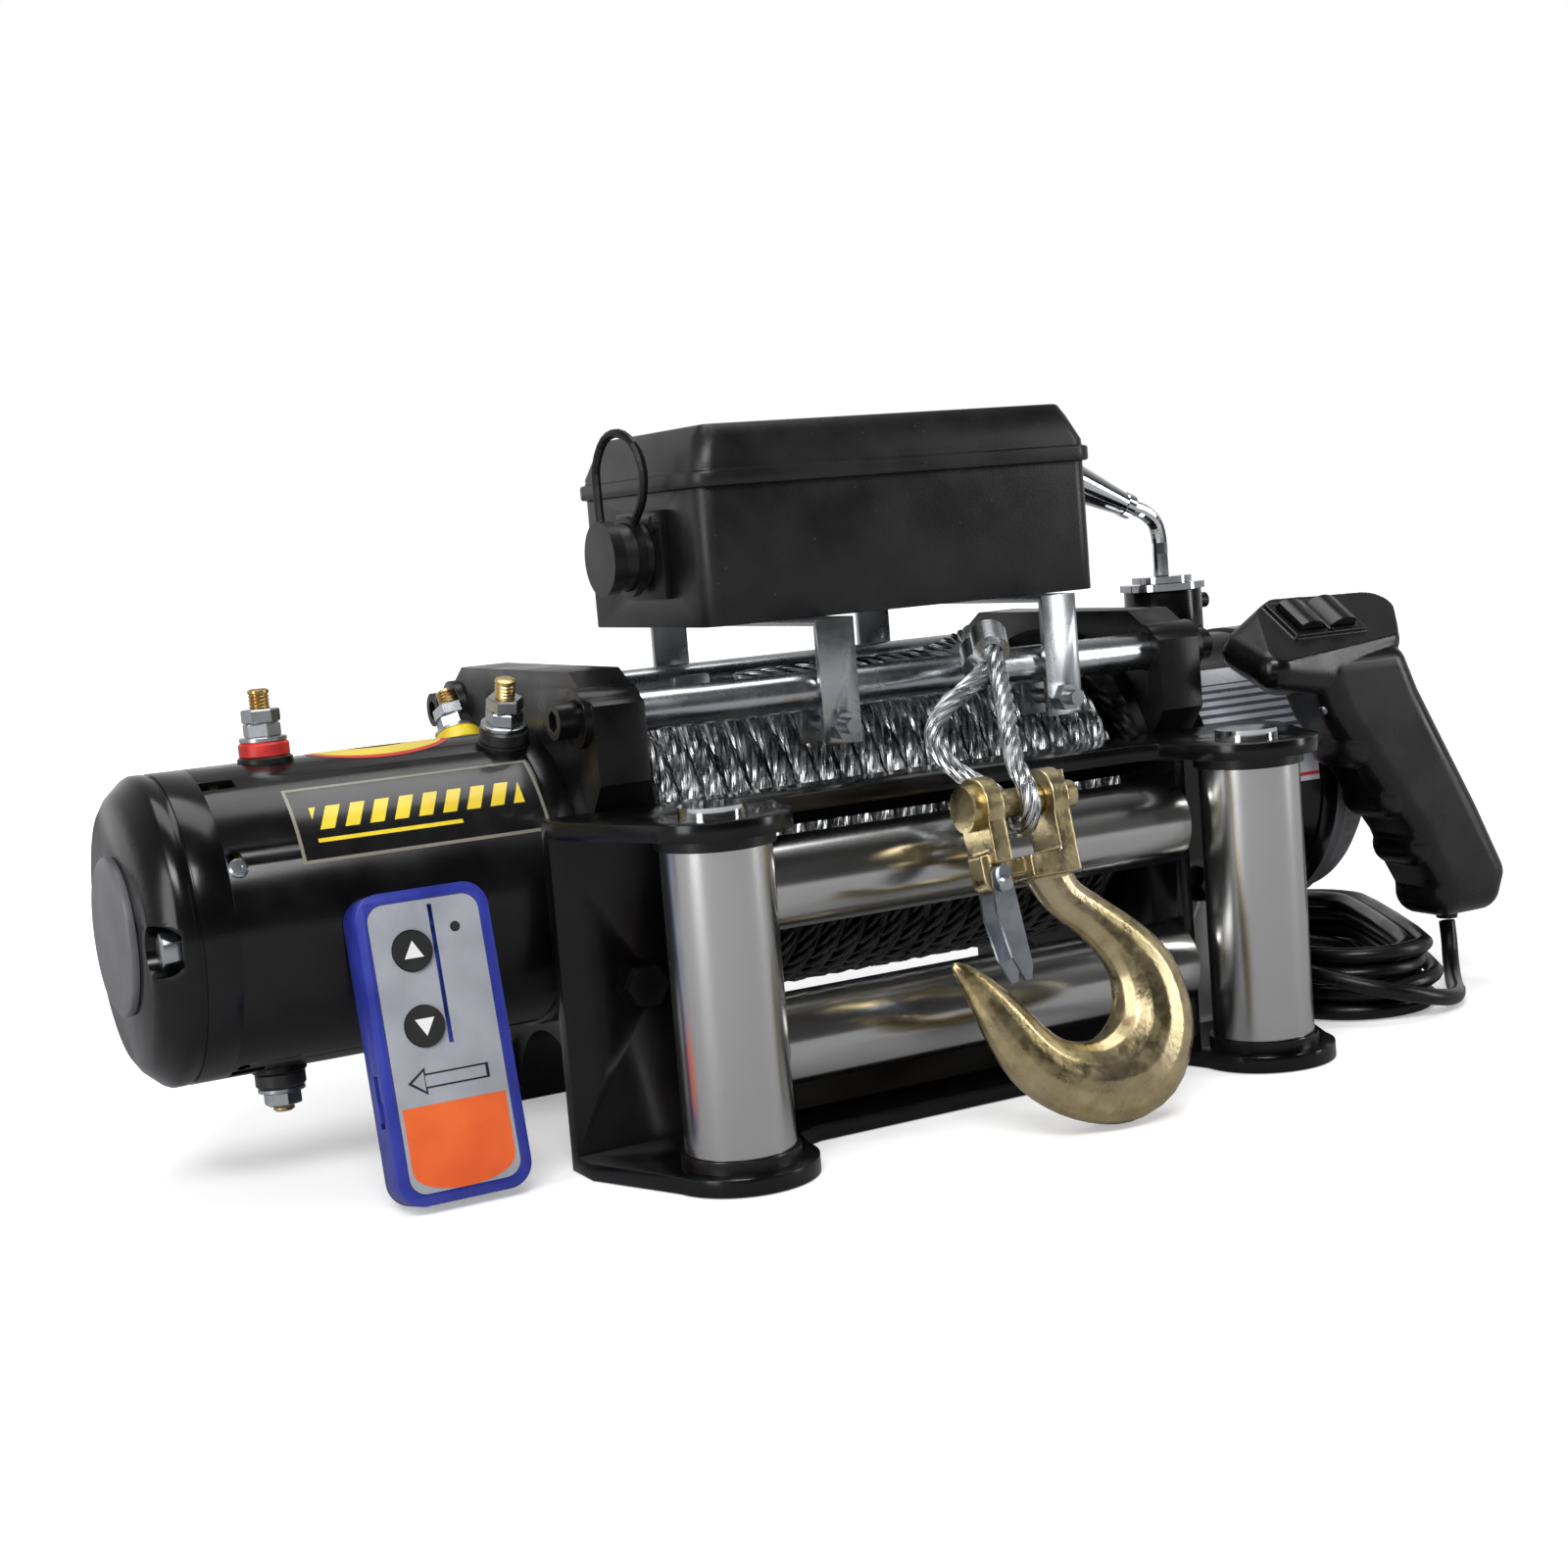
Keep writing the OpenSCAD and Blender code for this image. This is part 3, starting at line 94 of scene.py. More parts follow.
class Wiring:
    """Adds nodes to a tree and joins them by short calls."""

    def __init__(self, tree):
        self.tree = tree

    def add(self, kind, inputs=None, **settings):
        node = self.tree.nodes.new(kind)
        for key, value in settings.items():
            setattr(node, key, value)
        for key, value in (inputs or {}).items():
            self.feed(node.inputs[key], value)
        return node

    def feed(self, socket, value):
        if isinstance(value, bpy.types.NodeSocket):
            self.tree.links.new(value, socket)
        else:
            socket.default_value = value

    def maths(self, operation, a, b=0.0):
        return self.add("ShaderNodeMath", {0: a, 1: b}, operation=operation).outputs[0]

    def ranged(self, value, low, high, to_low, to_high):
        return self.add(
            "ShaderNodeMapRange",
            {"Value": value, "From Min": low, "From Max": high, "To Min": to_low, "To Max": to_high},
        ).outputs[0]

    def effect(self, group, place, **values):
        """A shared node group, fed with the place on the object and its own values."""
        return self.add("ShaderNodeGroup", {"Vector": place, **values}, node_tree=group).outputs

    def parts_of(self, place):
        return self.add("ShaderNodeSeparateXYZ", {0: place}).outputs

    def both(self, a, b):
        return self.maths("MULTIPLY", a, b)

    def mixed(self, share, a, b):
        node = self.add("ShaderNodeMix", data_type="RGBA")
        self.feed(node.inputs["Factor"], share)
        self.feed(node.inputs["A"], a)
        self.feed(node.inputs["B"], b)
        return node.outputs["Result"]


def new_group(name, inputs, outputs):
    group = bpy.data.node_groups.new(name, "ShaderNodeTree")
    for label, kind, value in inputs:
        socket = group.interface.new_socket(label, in_out="INPUT", socket_type=kind)
        if value is not None:
            socket.default_value = value
    for label, kind in outputs:
        group.interface.new_socket(label, in_out="OUTPUT", socket_type=kind)
    wiring = Wiring(group)
    return group, wiring, wiring.add("NodeGroupInput"), wiring.add("NodeGroupOutput")


FLOAT, VECTOR = "NodeSocketFloat", "NodeSocketVector"


def make_cloudy_mask():
    """Soft uneven patches, from 0 to 1, as in plating, paint and handled plastic."""
    group, w, given, out = new_group(
        "cloudy_mask",
        [("Vector", VECTOR, None), ("Scale", FLOAT, 40.0), ("Low", FLOAT, 0.35), ("High", FLOAT, 0.65)],
        [("Mask", FLOAT)],
    )
    noise = w.add("ShaderNodeTexNoise", {"Vector": given.outputs["Vector"], "Scale": given.outputs["Scale"]})
    noise.inputs["Detail"].default_value = 4.0
    spread = w.add("ShaderNodeMapRange", {"Value": noise.outputs["Fac"]})
    w.feed(spread.inputs["From Min"], given.outputs["Low"])
    w.feed(spread.inputs["From Max"], given.outputs["High"])
    w.feed(out.inputs["Mask"], spread.outputs[0])
    return group


def make_grain_normal():
    """Fine bumps of a moulded, cast or painted skin as a normal."""
    group, w, given, out = new_group(
        "grain_normal",
        [("Vector", VECTOR, None), ("Scale", FLOAT, 900.0), ("Strength", FLOAT, 0.2), ("Depth", FLOAT, 0.0002)],
        [("Normal", VECTOR), ("Height", FLOAT)],
    )
    noise = w.add("ShaderNodeTexNoise", {"Vector": given.outputs["Vector"], "Scale": given.outputs["Scale"]})
    noise.inputs["Detail"].default_value = 3.0
    bump = w.add(
        "ShaderNodeBump",
        {
            "Height": noise.outputs["Fac"],
            "Strength": given.outputs["Strength"],
            "Distance": given.outputs["Depth"],
        },
    )
    w.feed(out.inputs["Normal"], bump.outputs["Normal"])
    w.feed(out.inputs["Height"], noise.outputs["Fac"])
    return group


def make_dust_specks():
    """Sparse pale specks of dust, from 0 to 1."""
    group, w, given, out = new_group(
        "dust_specks",
        [("Vector", VECTOR, None), ("Scale", FLOAT, 260.0), ("Amount", FLOAT, 0.4)],
        [("Mask", FLOAT)],
    )
    cells = w.add("ShaderNodeTexVoronoi", {"Vector": given.outputs["Vector"], "Scale": given.outputs["Scale"]})
    near = w.ranged(cells.outputs["Distance"], 0.03, 0.09, 1.0, 0.0)
    chosen = w.add("ShaderNodeSeparateColor", {"Color": cells.outputs["Color"]}).outputs["Red"]
    some = w.maths("GREATER_THAN", chosen, 0.72)
    w.feed(out.inputs["Mask"], w.maths("MULTIPLY", w.maths("MULTIPLY", near, some), given.outputs["Amount"]))
    return group


def make_machined_lines():
    """Fine lines left by turning, brushing or drawing: noise stretched along chosen directions."""
    group, w, given, out = new_group(
        "machined_lines",
        [("Vector", VECTOR, None), ("Stretch", VECTOR, None), ("Strength", FLOAT, 0.1)],
        [("Mask", FLOAT), ("Normal", VECTOR)],
    )
    scaled = w.add(
        "ShaderNodeVectorMath", {0: given.outputs["Vector"], 1: given.outputs["Stretch"]}, operation="MULTIPLY"
    )
    noise = w.add("ShaderNodeTexNoise", {"Vector": scaled.outputs[0], "Scale": 1.0})
    noise.inputs["Detail"].default_value = 3.0
    bump = w.add(
        "ShaderNodeBump",
        {"Height": noise.outputs["Fac"], "Strength": given.outputs["Strength"], "Distance": 0.0001},
    )
    w.feed(out.inputs["Mask"], noise.outputs["Fac"])
    w.feed(out.inputs["Normal"], bump.outputs["Normal"])
    return group


CLOUDY = make_cloudy_mask()
GRAIN = make_grain_normal()
SPECKS = make_dust_specks()
LINES = make_machined_lines()


# Finishes


COAT_ROUGHNESS = 0.1
DUST_COLOUR = (0.55, 0.53, 0.5, 1)


def new_finish(name, metallic=0.0, coat=0.0, specular=0.5):
    material = bpy.data.materials.new(name)
    material.use_nodes = True
    w = Wiring(material.node_tree)
    shader = material.node_tree.nodes["Principled BSDF"]
    shader.inputs["Metallic"].default_value = metallic
    shader.inputs["Coat Weight"].default_value = coat
    shader.inputs["Coat Roughness"].default_value = COAT_ROUGHNESS
    shader.inputs["Specular IOR Level"].default_value = specular
    return material, w, shader, w.add("ShaderNodeTexCoord").outputs["Object"]


def patches_between(w, mask, dark, light):
    return w.mixed(mask, (*dark, 1), (*light, 1))


def skin_finish(name, dark, light, rough, grain, dust=0.0, coat=0.0, specular=0.5):
    """Paint, plastic, rubber or print: patches between two colours, fine grain and a little dust."""
    material, w, shader, place = new_finish(name, coat=coat, specular=specular)
    cloudy = w.effect(CLOUDY, place, Scale=45.0)["Mask"]
    colour = patches_between(w, cloudy, dark, light)
    if dust:
        colour = w.mixed(w.effect(SPECKS, place, Amount=dust)["Mask"], colour, DUST_COLOUR)
    fine = w.effect(GRAIN, place, Scale=grain[0], Strength=grain[1])
    smear = w.maths("ADD", cloudy, w.maths("MULTIPLY", fine["Height"], 0.4))
    w.feed(shader.inputs["Base Color"], colour)
    w.feed(shader.inputs["Roughness"], w.ranged(smear, 0.0, 1.4, *rough))
    w.feed(shader.inputs["Normal"], fine["Normal"])
    return material


TINT_SPREAD, TINT_SHARE = 0.3, 0.7


def metal_finish(name, dark, light, rough, stretch, lines=0.12, patch=60.0, tint=None, grain=None):
    """Bare or plated metal with machined lines and cloudy plating, or with the grain of a forging."""
    material, w, shader, place = new_finish(name, metallic=1.0)
    cloudy = w.effect(CLOUDY, place, Scale=patch)["Mask"]
    machined = w.effect(LINES, place, Stretch=stretch, Strength=lines)
    share = w.maths("MULTIPLY", w.maths("ADD", cloudy, machined["Mask"]), 0.5)
    colour = patches_between(w, share, dark, light)
    if tint:
        wide = w.effect(CLOUDY, place, Scale=patch * TINT_SPREAD)["Mask"]
        colour = w.mixed(w.maths("MULTIPLY", wide, TINT_SHARE), colour, (*tint, 1))
    normal = machined["Normal"]
    if grain:
        normal = w.effect(GRAIN, place, Scale=grain[0], Strength=grain[1])["Normal"]
    w.feed(shader.inputs["Base Color"], colour)
    w.feed(shader.inputs["Roughness"], w.ranged(share, 0.2, 0.8, *rough))
    w.feed(shader.inputs["Normal"], normal)
    return material


WIRES_ALONG, WIRES_AROUND = 420.0, 44.0
# Heights on the drum below which the rope takes the painted shade colour, and above which it keeps its own
# colour
SHADED_BELOW, UNSHADED_ABOVE = 0.085, 0.105


def strand_finish(name, dark, light, rough):
    """Galvanised wires laid in a strand, on the strand's own map, with painted shade: darker low on the drum,
    where the winding falls in shade.
    """
    material, w, shader, place = new_finish(name, metallic=1.0)
    along = w.parts_of(w.add("ShaderNodeUVMap", uv_map="strand").outputs["UV"])
    around = w.maths("MULTIPLY", along["Y"], WIRES_AROUND)
    wires = w.maths("SINE", w.maths("ADD", w.maths("MULTIPLY", along["X"], WIRES_ALONG), around))
    cloudy = w.effect(CLOUDY, place, Scale=90.0)["Mask"]
    # The wire stripes in the colour are painted light: bright wire crowns as painted highlight, dark grooves
    # between the wires as painted shade
    lit = w.maths("MULTIPLY", w.ranged(wires, -1, 1, 0, 1), 0.55)
    share = w.maths("ADD", lit, w.maths("MULTIPLY", cloudy, 0.45))
    # Painted shade: a dark copy of the rope's colour for the lower part of the winding
    painted_shade = w.mixed(share, (0.05, 0.05, 0.052, 1), (0.3, 0.3, 0.31, 1))
    unshaded = patches_between(w, share, dark, light)
    height = w.ranged(w.parts_of(place)["Z"], SHADED_BELOW, UNSHADED_ABOVE, 0, 1)
    w.feed(shader.inputs["Base Color"], w.mixed(height, painted_shade, unshaded))
    w.feed(shader.inputs["Roughness"], w.ranged(cloudy, 0, 1, *rough))
    bump = w.add("ShaderNodeBump", {"Height": wires, "Strength": 0.35, "Distance": 0.0003})
    w.feed(shader.inputs["Normal"], bump.outputs["Normal"])
    return material


ROUND_X = (2600.0, 45.0, 45.0)
ROUND_Z = (45.0, 45.0, 2600.0)
EVEN = (420.0, 420.0, 420.0)

# Dark and light colour, range of roughness, scale and strength of the grain, and what else differs
SKINS = {
    "black_gloss": ((0.0015, 0.0015, 0.0018), (0.004, 0.004, 0.0045), (0.16, 0.26), (160, 0.06),
                    {"coat": 0.06, "specular": 0.32}),
    "black_cast": ((0.0015, 0.0015, 0.0018), (0.005, 0.005, 0.0055), (0.22, 0.38), (420, 0.2),
                   {"dust": 0.12, "specular": 0.3}),
    "box_plastic": ((0.004, 0.004, 0.0045), (0.008, 0.008, 0.0085), (0.3, 0.42), (1400, 0.26),
                    {"dust": 0.12, "specular": 0.42}),
    "handset_plastic": ((0.002, 0.002, 0.0022), (0.005, 0.005, 0.0055), (0.2, 0.34), (1500, 0.14),
                        {"dust": 0.06, "specular": 0.45}),
    "black_rubber": ((0.002, 0.002, 0.002), (0.006, 0.006, 0.006), (0.26, 0.42), (900, 0.16),
                     {"dust": 0.06, "specular": 0.4}),
    "dark_grey": ((0.09, 0.09, 0.095), (0.13, 0.13, 0.137), (0.34, 0.5), (700, 0.16), {"dust": 0.06}),
    "board_green": ((0.01, 0.14, 0.04), (0.02, 0.22, 0.08), (0.3, 0.45), (900, 0.1), {}),
    "remote_blue": ((0.014, 0.022, 0.2), (0.024, 0.036, 0.29), (0.26, 0.4), (1100, 0.1), {"coat": 0.1}),
    "remote_grey": ((0.24, 0.25, 0.28), (0.31, 0.32, 0.355), (0.38, 0.5), (1300, 0.1), {}),
    "button_black": ((0.008, 0.008, 0.009), (0.016, 0.016, 0.017), (0.4, 0.55), (1200, 0.2), {}),
    "print_white": ((0.62, 0.62, 0.62), (0.7, 0.7, 0.7), (0.4, 0.5), (1300, 0.05), {}),
    "print_orange": ((0.62, 0.085, 0.012), (0.72, 0.12, 0.018), (0.38, 0.5), (1300, 0.05), {}),
    "print_yellow": ((0.7, 0.52, 0.03), (0.8, 0.62, 0.05), (0.3, 0.42), (700, 0.05), {}),
    "print_red": ((0.5, 0.015, 0.02), (0.6, 0.03, 0.03), (0.3, 0.42), (700, 0.05), {}),
}
# Dark and light colour, range of roughness, the way the machined lines run, and what else differs
METALS = {
    "zinc": ((0.42, 0.44, 0.46), (0.56, 0.58, 0.6), (0.22, 0.32), EVEN, {"lines": 0.03}),
    "latch_zinc": ((0.4, 0.43, 0.48), (0.56, 0.59, 0.64), (0.3, 0.4), EVEN, {"lines": 0.05, "patch": 30.0}),
    "roller_zinc": ((0.52, 0.52, 0.51), (0.6, 0.6, 0.59), (0.17, 0.21), ROUND_X,
                    {"lines": 0.015, "patch": 12.0}),
    "chrome": ((0.62, 0.63, 0.65), (0.82, 0.83, 0.85), (0.05, 0.12), EVEN, {"lines": 0.02}),
    "stud_brass": ((0.5, 0.34, 0.12), (0.82, 0.62, 0.3), (0.22, 0.4), ROUND_Z, {"lines": 0.2}),
    "bronze": ((0.4, 0.25, 0.1), (0.62, 0.42, 0.2), (0.3, 0.5), ROUND_X, {}),
    "copper": ((0.5, 0.22, 0.08), (0.75, 0.4, 0.2), (0.25, 0.4), ROUND_X, {}),
    "steel": ((0.32, 0.32, 0.32), (0.55, 0.55, 0.55), (0.3, 0.5), ROUND_X, {}),
    "hook_zinc": ((0.34, 0.25, 0.1), (0.74, 0.62, 0.34), (0.24, 0.4), EVEN,
                  {"lines": 0.05, "patch": 120.0, "tint": (0.56, 0.47, 0.33), "grain": (620.0, 0.55)}),
    "roller_upright": ((0.54, 0.54, 0.53), (0.62, 0.62, 0.61), (0.2, 0.24), ROUND_Z,
                       {"lines": 0.015, "patch": 12.0}),
}
FINISH = {name: skin_finish(name, *values, **more) for name, (*values, more) in SKINS.items()}
FINISH.update({name: metal_finish(name, *values, **more) for name, (*values, more) in METALS.items()})
FINISH["rope_steel"] = strand_finish("rope_steel", (0.3, 0.31, 0.32), (0.85, 0.86, 0.87), (0.2, 0.32))

FAR_SIDE_Y, LOW_Z, RED_BEFORE_X = 0.005, 0.09, -0.19


def insulator_finish():
    """Red, yellow and black rings, told apart by where they stand on the motor."""
    material, w, shader, place = new_finish("insulator")
    where = w.parts_of(place)
    cloudy = w.effect(CLOUDY, place, Scale=120.0)["Mask"]
    red = w.mixed(cloudy, (0.4, 0.012, 0.012, 1), (0.62, 0.03, 0.02, 1))
    yellow = w.mixed(cloudy, (0.62, 0.42, 0.01, 1), (0.85, 0.66, 0.03, 1))
    black = w.mixed(cloudy, (0.01, 0.01, 0.01, 1), (0.03, 0.03, 0.03, 1))
    colour = w.mixed(w.maths("GREATER_THAN", where["Y"], FAR_SIDE_Y), black, yellow)
    near_end = w.maths("LESS_THAN", where["X"], RED_BEFORE_X)
    colour = w.mixed(w.both(w.maths("GREATER_THAN", where["Z"], LOW_Z), near_end), colour, red)
    colour = w.mixed(w.maths("LESS_THAN", where["Z"], LOW_Z), colour, black)
    w.feed(shader.inputs["Base Color"], colour)
    w.feed(shader.inputs["Roughness"], w.ranged(cloudy, 0, 1, 0.28, 0.45))
    return material


FINISH["insulator"] = insulator_finish()


def coat(piece, material):
    piece.data.materials.clear()
    piece.data.materials.append(material)
    return piece


for name, node in nodes.items():
    for i in range(max(1, len(node.data.materials))):
        if len(node.data.materials) <= i:
            node.data.materials.append(FINISH[slot_of_node[name]])
        else:
            node.data.materials[i] = FINISH[slot_of_node[name]]
nodes["roller_left"].data.materials[0] = FINISH["roller_upright"]
nodes["roller_right"].data.materials[0] = FINISH["roller_upright"]
nodes["hook_latch"].data.materials[0] = FINISH["latch_zinc"]


# Ropes and the lead


def smooth_route(points, steps):
    """The same smooth line through the given points as in the part's source."""
    p = [np.array(q, float) for q in points]
    line = []
    for i in range(len(p) - 1):
        a, b, c, d = p[max(i - 1, 0)], p[i], p[i + 1], p[min(i + 2, len(p) - 1)]
        for s in range(steps):
            t = s / steps
            square, cube = 2 * a - 5 * b + 4 * c - d, 3 * b - a - 3 * c + d
            line.append(0.5 * (2 * b + (c - a) * t + square * t * t + cube * t**3))
    return np.array(line + [p[-1]])


def run_along(line):
    """Distance from the start at each point."""
    return np.concatenate([[0], np.cumsum(np.linalg.norm(np.diff(line, axis=0), axis=1))])


def carried_sides(line):
    """Tangent and two square directions at each point, carried along without twist."""
    ahead = np.gradient(line, axis=0)
    ahead /= np.linalg.norm(ahead, axis=1)[:, None]
    side = np.cross(ahead[0], (0.3, 0.2, 1.0))
    sides = []
    for t in ahead:
        side = side - t * (side @ t)
        side /= np.linalg.norm(side)
        sides.append(side)
    sides = np.array(sides)
    return ahead, sides, np.cross(ahead, sides)


def tube(name, lines, radii, around, material):
    """One mesh of round tubes, each along its own line, with closed ends and a map along it."""
    points, faces, maps = [], [], []
    for line, radius in zip(lines, radii):
        _, u, v = carried_sides(line)
        start = len(points)
        run = run_along(line)
        angles = [tau * k / around for k in range(around)]
        for i, centre in enumerate(line):
            r = radius[i] if np.ndim(radius) else radius
            points += [tuple(centre + r * (cos(a) * u[i] + sin(a) * v[i])) for a in angles]
        for i in range(len(line) - 1):
            for k in range(around):
                a, b = start + i * around + k, start + i * around + (k + 1) % around
                faces.append((a, b, b + around, a + around))
                low, high = k / around, (k + 1) / around
                maps += [(run[i], low), (run[i], high), (run[i + 1], high), (run[i + 1], low)]
        last = start + (len(line) - 1) * around
        faces += [tuple(range(start + around - 1, start - 1, -1)), tuple(range(last, last + around))]
        maps += [(run[0], 0.5)] * around + [(run[-1], 0.5)] * around
    mesh = bpy.data.meshes.new(name)
    mesh.from_pydata(points, [], faces)
    strand_map = mesh.uv_layers.new(name="strand")
    strand_map.data.foreach_set("uv", np.array(maps, np.float32).ravel())
    mesh.shade_smooth()
    piece = bpy.data.objects.new(name, mesh)
    scene.collection.objects.link(piece)
    return coat(piece, material)


STRANDS = 6


def laid_strands(line, radii, lay):
    """The lines of a rope's strands, turning round its centre line, and each strand's radius."""
    _, u, v = carried_sides(line)
    run = run_along(line)
    radii = np.array(radii) * np.ones(len(line))
    lines = [line]
    for s in range(STRANDS):
        turn = tau * (run / lay + s / STRANDS)
        out = np.cos(turn)[:, None] * u + np.sin(turn)[:, None] * v
        lines.append(line + (radii * 2 / 3)[:, None] * out)
    return lines, [radii / 3] * (STRANDS + 1)


ROPE_R = 4.6 * MM
CORE_R = 50 * MM
AXIS_Z = 96 * MM
WOUND_FROM, WOUND_TO, TURNS = -103.7 * MM, 103.7 * MM, 21
STEPS_A_TURN = 66
LAY = 52 * MM
WOUND_GAP = 0.1 * MM
EYE_THINNING = 0.8


def wind_rope():
    """Strand-laid rope in turns side by side on the drum."""
    t = np.arange(TURNS * STEPS_A_TURN + 1) / STEPS_A_TURN
    r = CORE_R + ROPE_R + WOUND_GAP
    across = WOUND_FROM + (WOUND_TO - WOUND_FROM) * t / TURNS
    line = np.stack([across, r * np.sin(tau * t), AXIS_Z + r * np.cos(tau * t)], 1)
    lines, radii = laid_strands(line, ROPE_R, LAY)
    winding = tube("wound_rope", lines[1:], radii[1:], 6, FINISH["rope_steel"])
    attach(winding, "drum_body")
    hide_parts("rope_winding")


LEAD_ROUTE = [(-30, 18, 158.6), (-14, 12, 160), (4, 4, 161), (20, -8, 161), (31, -24, 162.8),
              (35, -42, 167), (34, -57, 170.6), (31, -70, 169.8), (28, -77.5, 166.5),
              (24.5, -84.5, 162)]
EYE_ROUTE = [(19, -89.6, 158.6), (11, -93, 155), (1, -95.8, 150.4), (-8, -100, 144.5),
             (-13.6, -107, 137.6), (-14, -116, 130.4), (-9.4, -125.4, 124), (-4.8, -132.6, 118.6),
             (-4, -135.4, 111.6), (-4, -143, 107.5), (-4, -149.9, 110.3), (-4, -152.5, 117),
             (-4, -149.9, 124.4), (-2.6, -142.4, 131), (3, -131.6, 139.6), (10, -119.5, 148.2),
             (16, -108.6, 155.4), (20, -101, 160.6), (22.6, -95.5, 164.6), (24.7, -90.2, 168.7)]
ROUTE_STEPS = 8


def lead_rope():
    """The free end: over the front bar, through its sleeve, round the clevis pin and back."""
    line = smooth_route(LEAD_ROUTE + EYE_ROUTE, ROUTE_STEPS) * MM
    lead_end = ROUTE_STEPS * (len(LEAD_ROUTE) - 1)
    radii = ROPE_R * np.interp(np.arange(len(line)), [lead_end - ROUTE_STEPS, lead_end], [1.0, EYE_THINNING])
    lines, strand_radii = laid_strands(line, radii, LAY * EYE_THINNING)
    rope = tube("free_rope", lines, strand_radii, 8, FINISH["rope_steel"])
    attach(rope, "winch")
    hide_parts("rope_lead")


CORD_R = 3.5 * MM
CORD_ROUTE = [(49.5, -12.6, 26), (49.2, -15.6, 19), (47.8, -21.4, 11.4), (45.6, -30.5, 6.2),
              (43, -42, 4), (40.4, -54.5, 4), (34.8, -67.5, 4.8), (25, -77.8, 7.4), (12, -84.2, 11.2),
              (-2, -85.6, 15), (-15.5, -80.5, 18.6), (-26, -71, 21.4), (-32.5, -58, 23.4),
              (-34.6, -44, 24.6), (-34.6, -28, 25.2), (-34, -14, 25.7), (-33.5, -0.4, 26)]
HANK_CENTRE, HANK_ANGLE = (222, -42), radians(62.5)
HANK_TURNS, HANK_RUN, FOLD_R = 7, 45, 20.4
FOLD_PITCH, LAYER_STEP, LAYER_TURNS = 7.5, 7.5, 7 / 4
HANK_LAYERS, CLIMB_TURNS, FIRST_CLIMB = 3, 0.5, 0.25
HANK_STEPS = 36
HANK_LEAD = [(-39, 66, 9), (-38.6, 60, 8.6), (-37, 50, 6.6), (-35, 38, 4.2), (-33.8, 24, 3.5),
             (-33.5, 12, 3.5)]
HANK_COLUMN = 0.26


def hank_at(p):
    """A point given across, along and above the coil, in the winch's own axes."""
    return (HANK_CENTRE[0] + p[0] * sin(HANK_ANGLE) + p[1] * cos(HANK_ANGLE),
            HANK_CENTRE[1] - p[0] * cos(HANK_ANGLE) + p[1] * sin(HANK_ANGLE), p[2])


def hank_point(t):
    """Where the coiled lead lies after t loops, counted from its connector.

    Each loop is two straight sides joined by round ends. The loops widen and narrow by one pitch
    a turn, and the lead climbs a layer each time the widening turns round.
    """
    turn = tau * t + pi
    r = FOLD_R + FOLD_PITCH * abs(LAYER_TURNS - t % (2 * LAYER_TURNS))
    push = max(-1.0, min(1.0, sin(turn) / HANK_COLUMN))
    n = floor((t + FIRST_CLIMB) / LAYER_TURNS)
    part = t + FIRST_CLIMB - n * LAYER_TURNS
    layer = min(max(n, 0), HANK_LAYERS)
    if 0 < n <= HANK_LAYERS and part < CLIMB_TURNS:
        layer -= 1 - part / CLIMB_TURNS
    return hank_at((r * cos(turn), push * HANK_RUN + r * sin(turn), CORD_R / MM + LAYER_STEP * layer))


def handset_lead():
    """The handset's lead, from its strain relief through the hank to the connector."""
    hank = [hank_point(i / HANK_STEPS) for i in range(HANK_TURNS * HANK_STEPS + 1)]
    tail = [hank_at(p) for p in HANK_LEAD]
    free = smooth_route([hank_at(p) for p in CORD_ROUTE], 4)
    line = np.array(list(free[:-1]) + hank[::-1] + tail[::-1]) * MM
    lead = tube("handset_lead", [line], [CORD_R], 12, FINISH["black_rubber"])
    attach(lead, "winch")
    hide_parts("handset_cord", "cord_hank")


wind_rope()
lead_rope()
handset_lead()


# Pieces made from a solid's own shape


FLAT_WITHIN = radians(0.8)
BEVEL_FROM, SMOOTH_UP_TO = radians(40), radians(35)


def select_only(piece):
    bpy.ops.object.select_all(action="DESELECT")
    piece.select_set(True)
    bpy.context.view_layer.objects.active = piece


def finish_modifiers(piece):
    select_only(piece)
    for modifier in list(piece.modifiers):
        bpy.ops.object.modifier_apply(modifier=modifier.name)


def copied_solid(node, name):
    """A copy of a solid, its doubles merged and its flat faces made whole again."""
    piece = bpy.data.objects.new(name, nodes[node].data.copy())
    scene.collection.objects.link(piece)
    select_only(piece)
    bpy.ops.object.mode_set(mode="EDIT")
    bpy.ops.mesh.select_all(action="SELECT")
    bpy.ops.mesh.remove_doubles(threshold=0.01 * MM)
    bpy.ops.mesh.dissolve_limited(angle_limit=FLAT_WITHIN)
    bpy.ops.object.mode_set(mode="OBJECT")
    carried = piece.data.attributes.get("custom_normal")
    if carried:
        piece.data.attributes.remove(carried)
    return piece


def stand_for(piece, node, material=None):
    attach(piece, body_of_node[node])
    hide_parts(node)
    return coat(piece, material or FINISH[slot_of_node[node]])


def eased_solid(node, name, ease):
    """A solid with its sharp edges eased by a narrow bevel."""
    piece = copied_solid(node, name)
    bevel = piece.modifiers.new("ease", "BEVEL")
    bevel.width = ease * MM
    bevel.segments = 2
    bevel.limit_method = "ANGLE"
    bevel.angle_limit = BEVEL_FROM
    finish_modifiers(piece)
    bpy.ops.object.shade_smooth_by_angle(angle=SMOOTH_UP_TO)
    return stand_for(piece, node)


def forged_solid(node, name, voxel, rounds):
    """A solid remeshed and softened, as a forging or moulding has no sharp edge."""
    piece = copied_solid(node, name)
    piece.data.remesh_voxel_size = voxel * MM
    select_only(piece)
    bpy.ops.object.voxel_remesh()
    soften = piece.modifiers.new("soften", "SMOOTH")
    soften.factor = 0.5
    soften.iterations = rounds
    finish_modifiers(piece)
    bpy.ops.object.shade_smooth()
    return stand_for(piece, node)


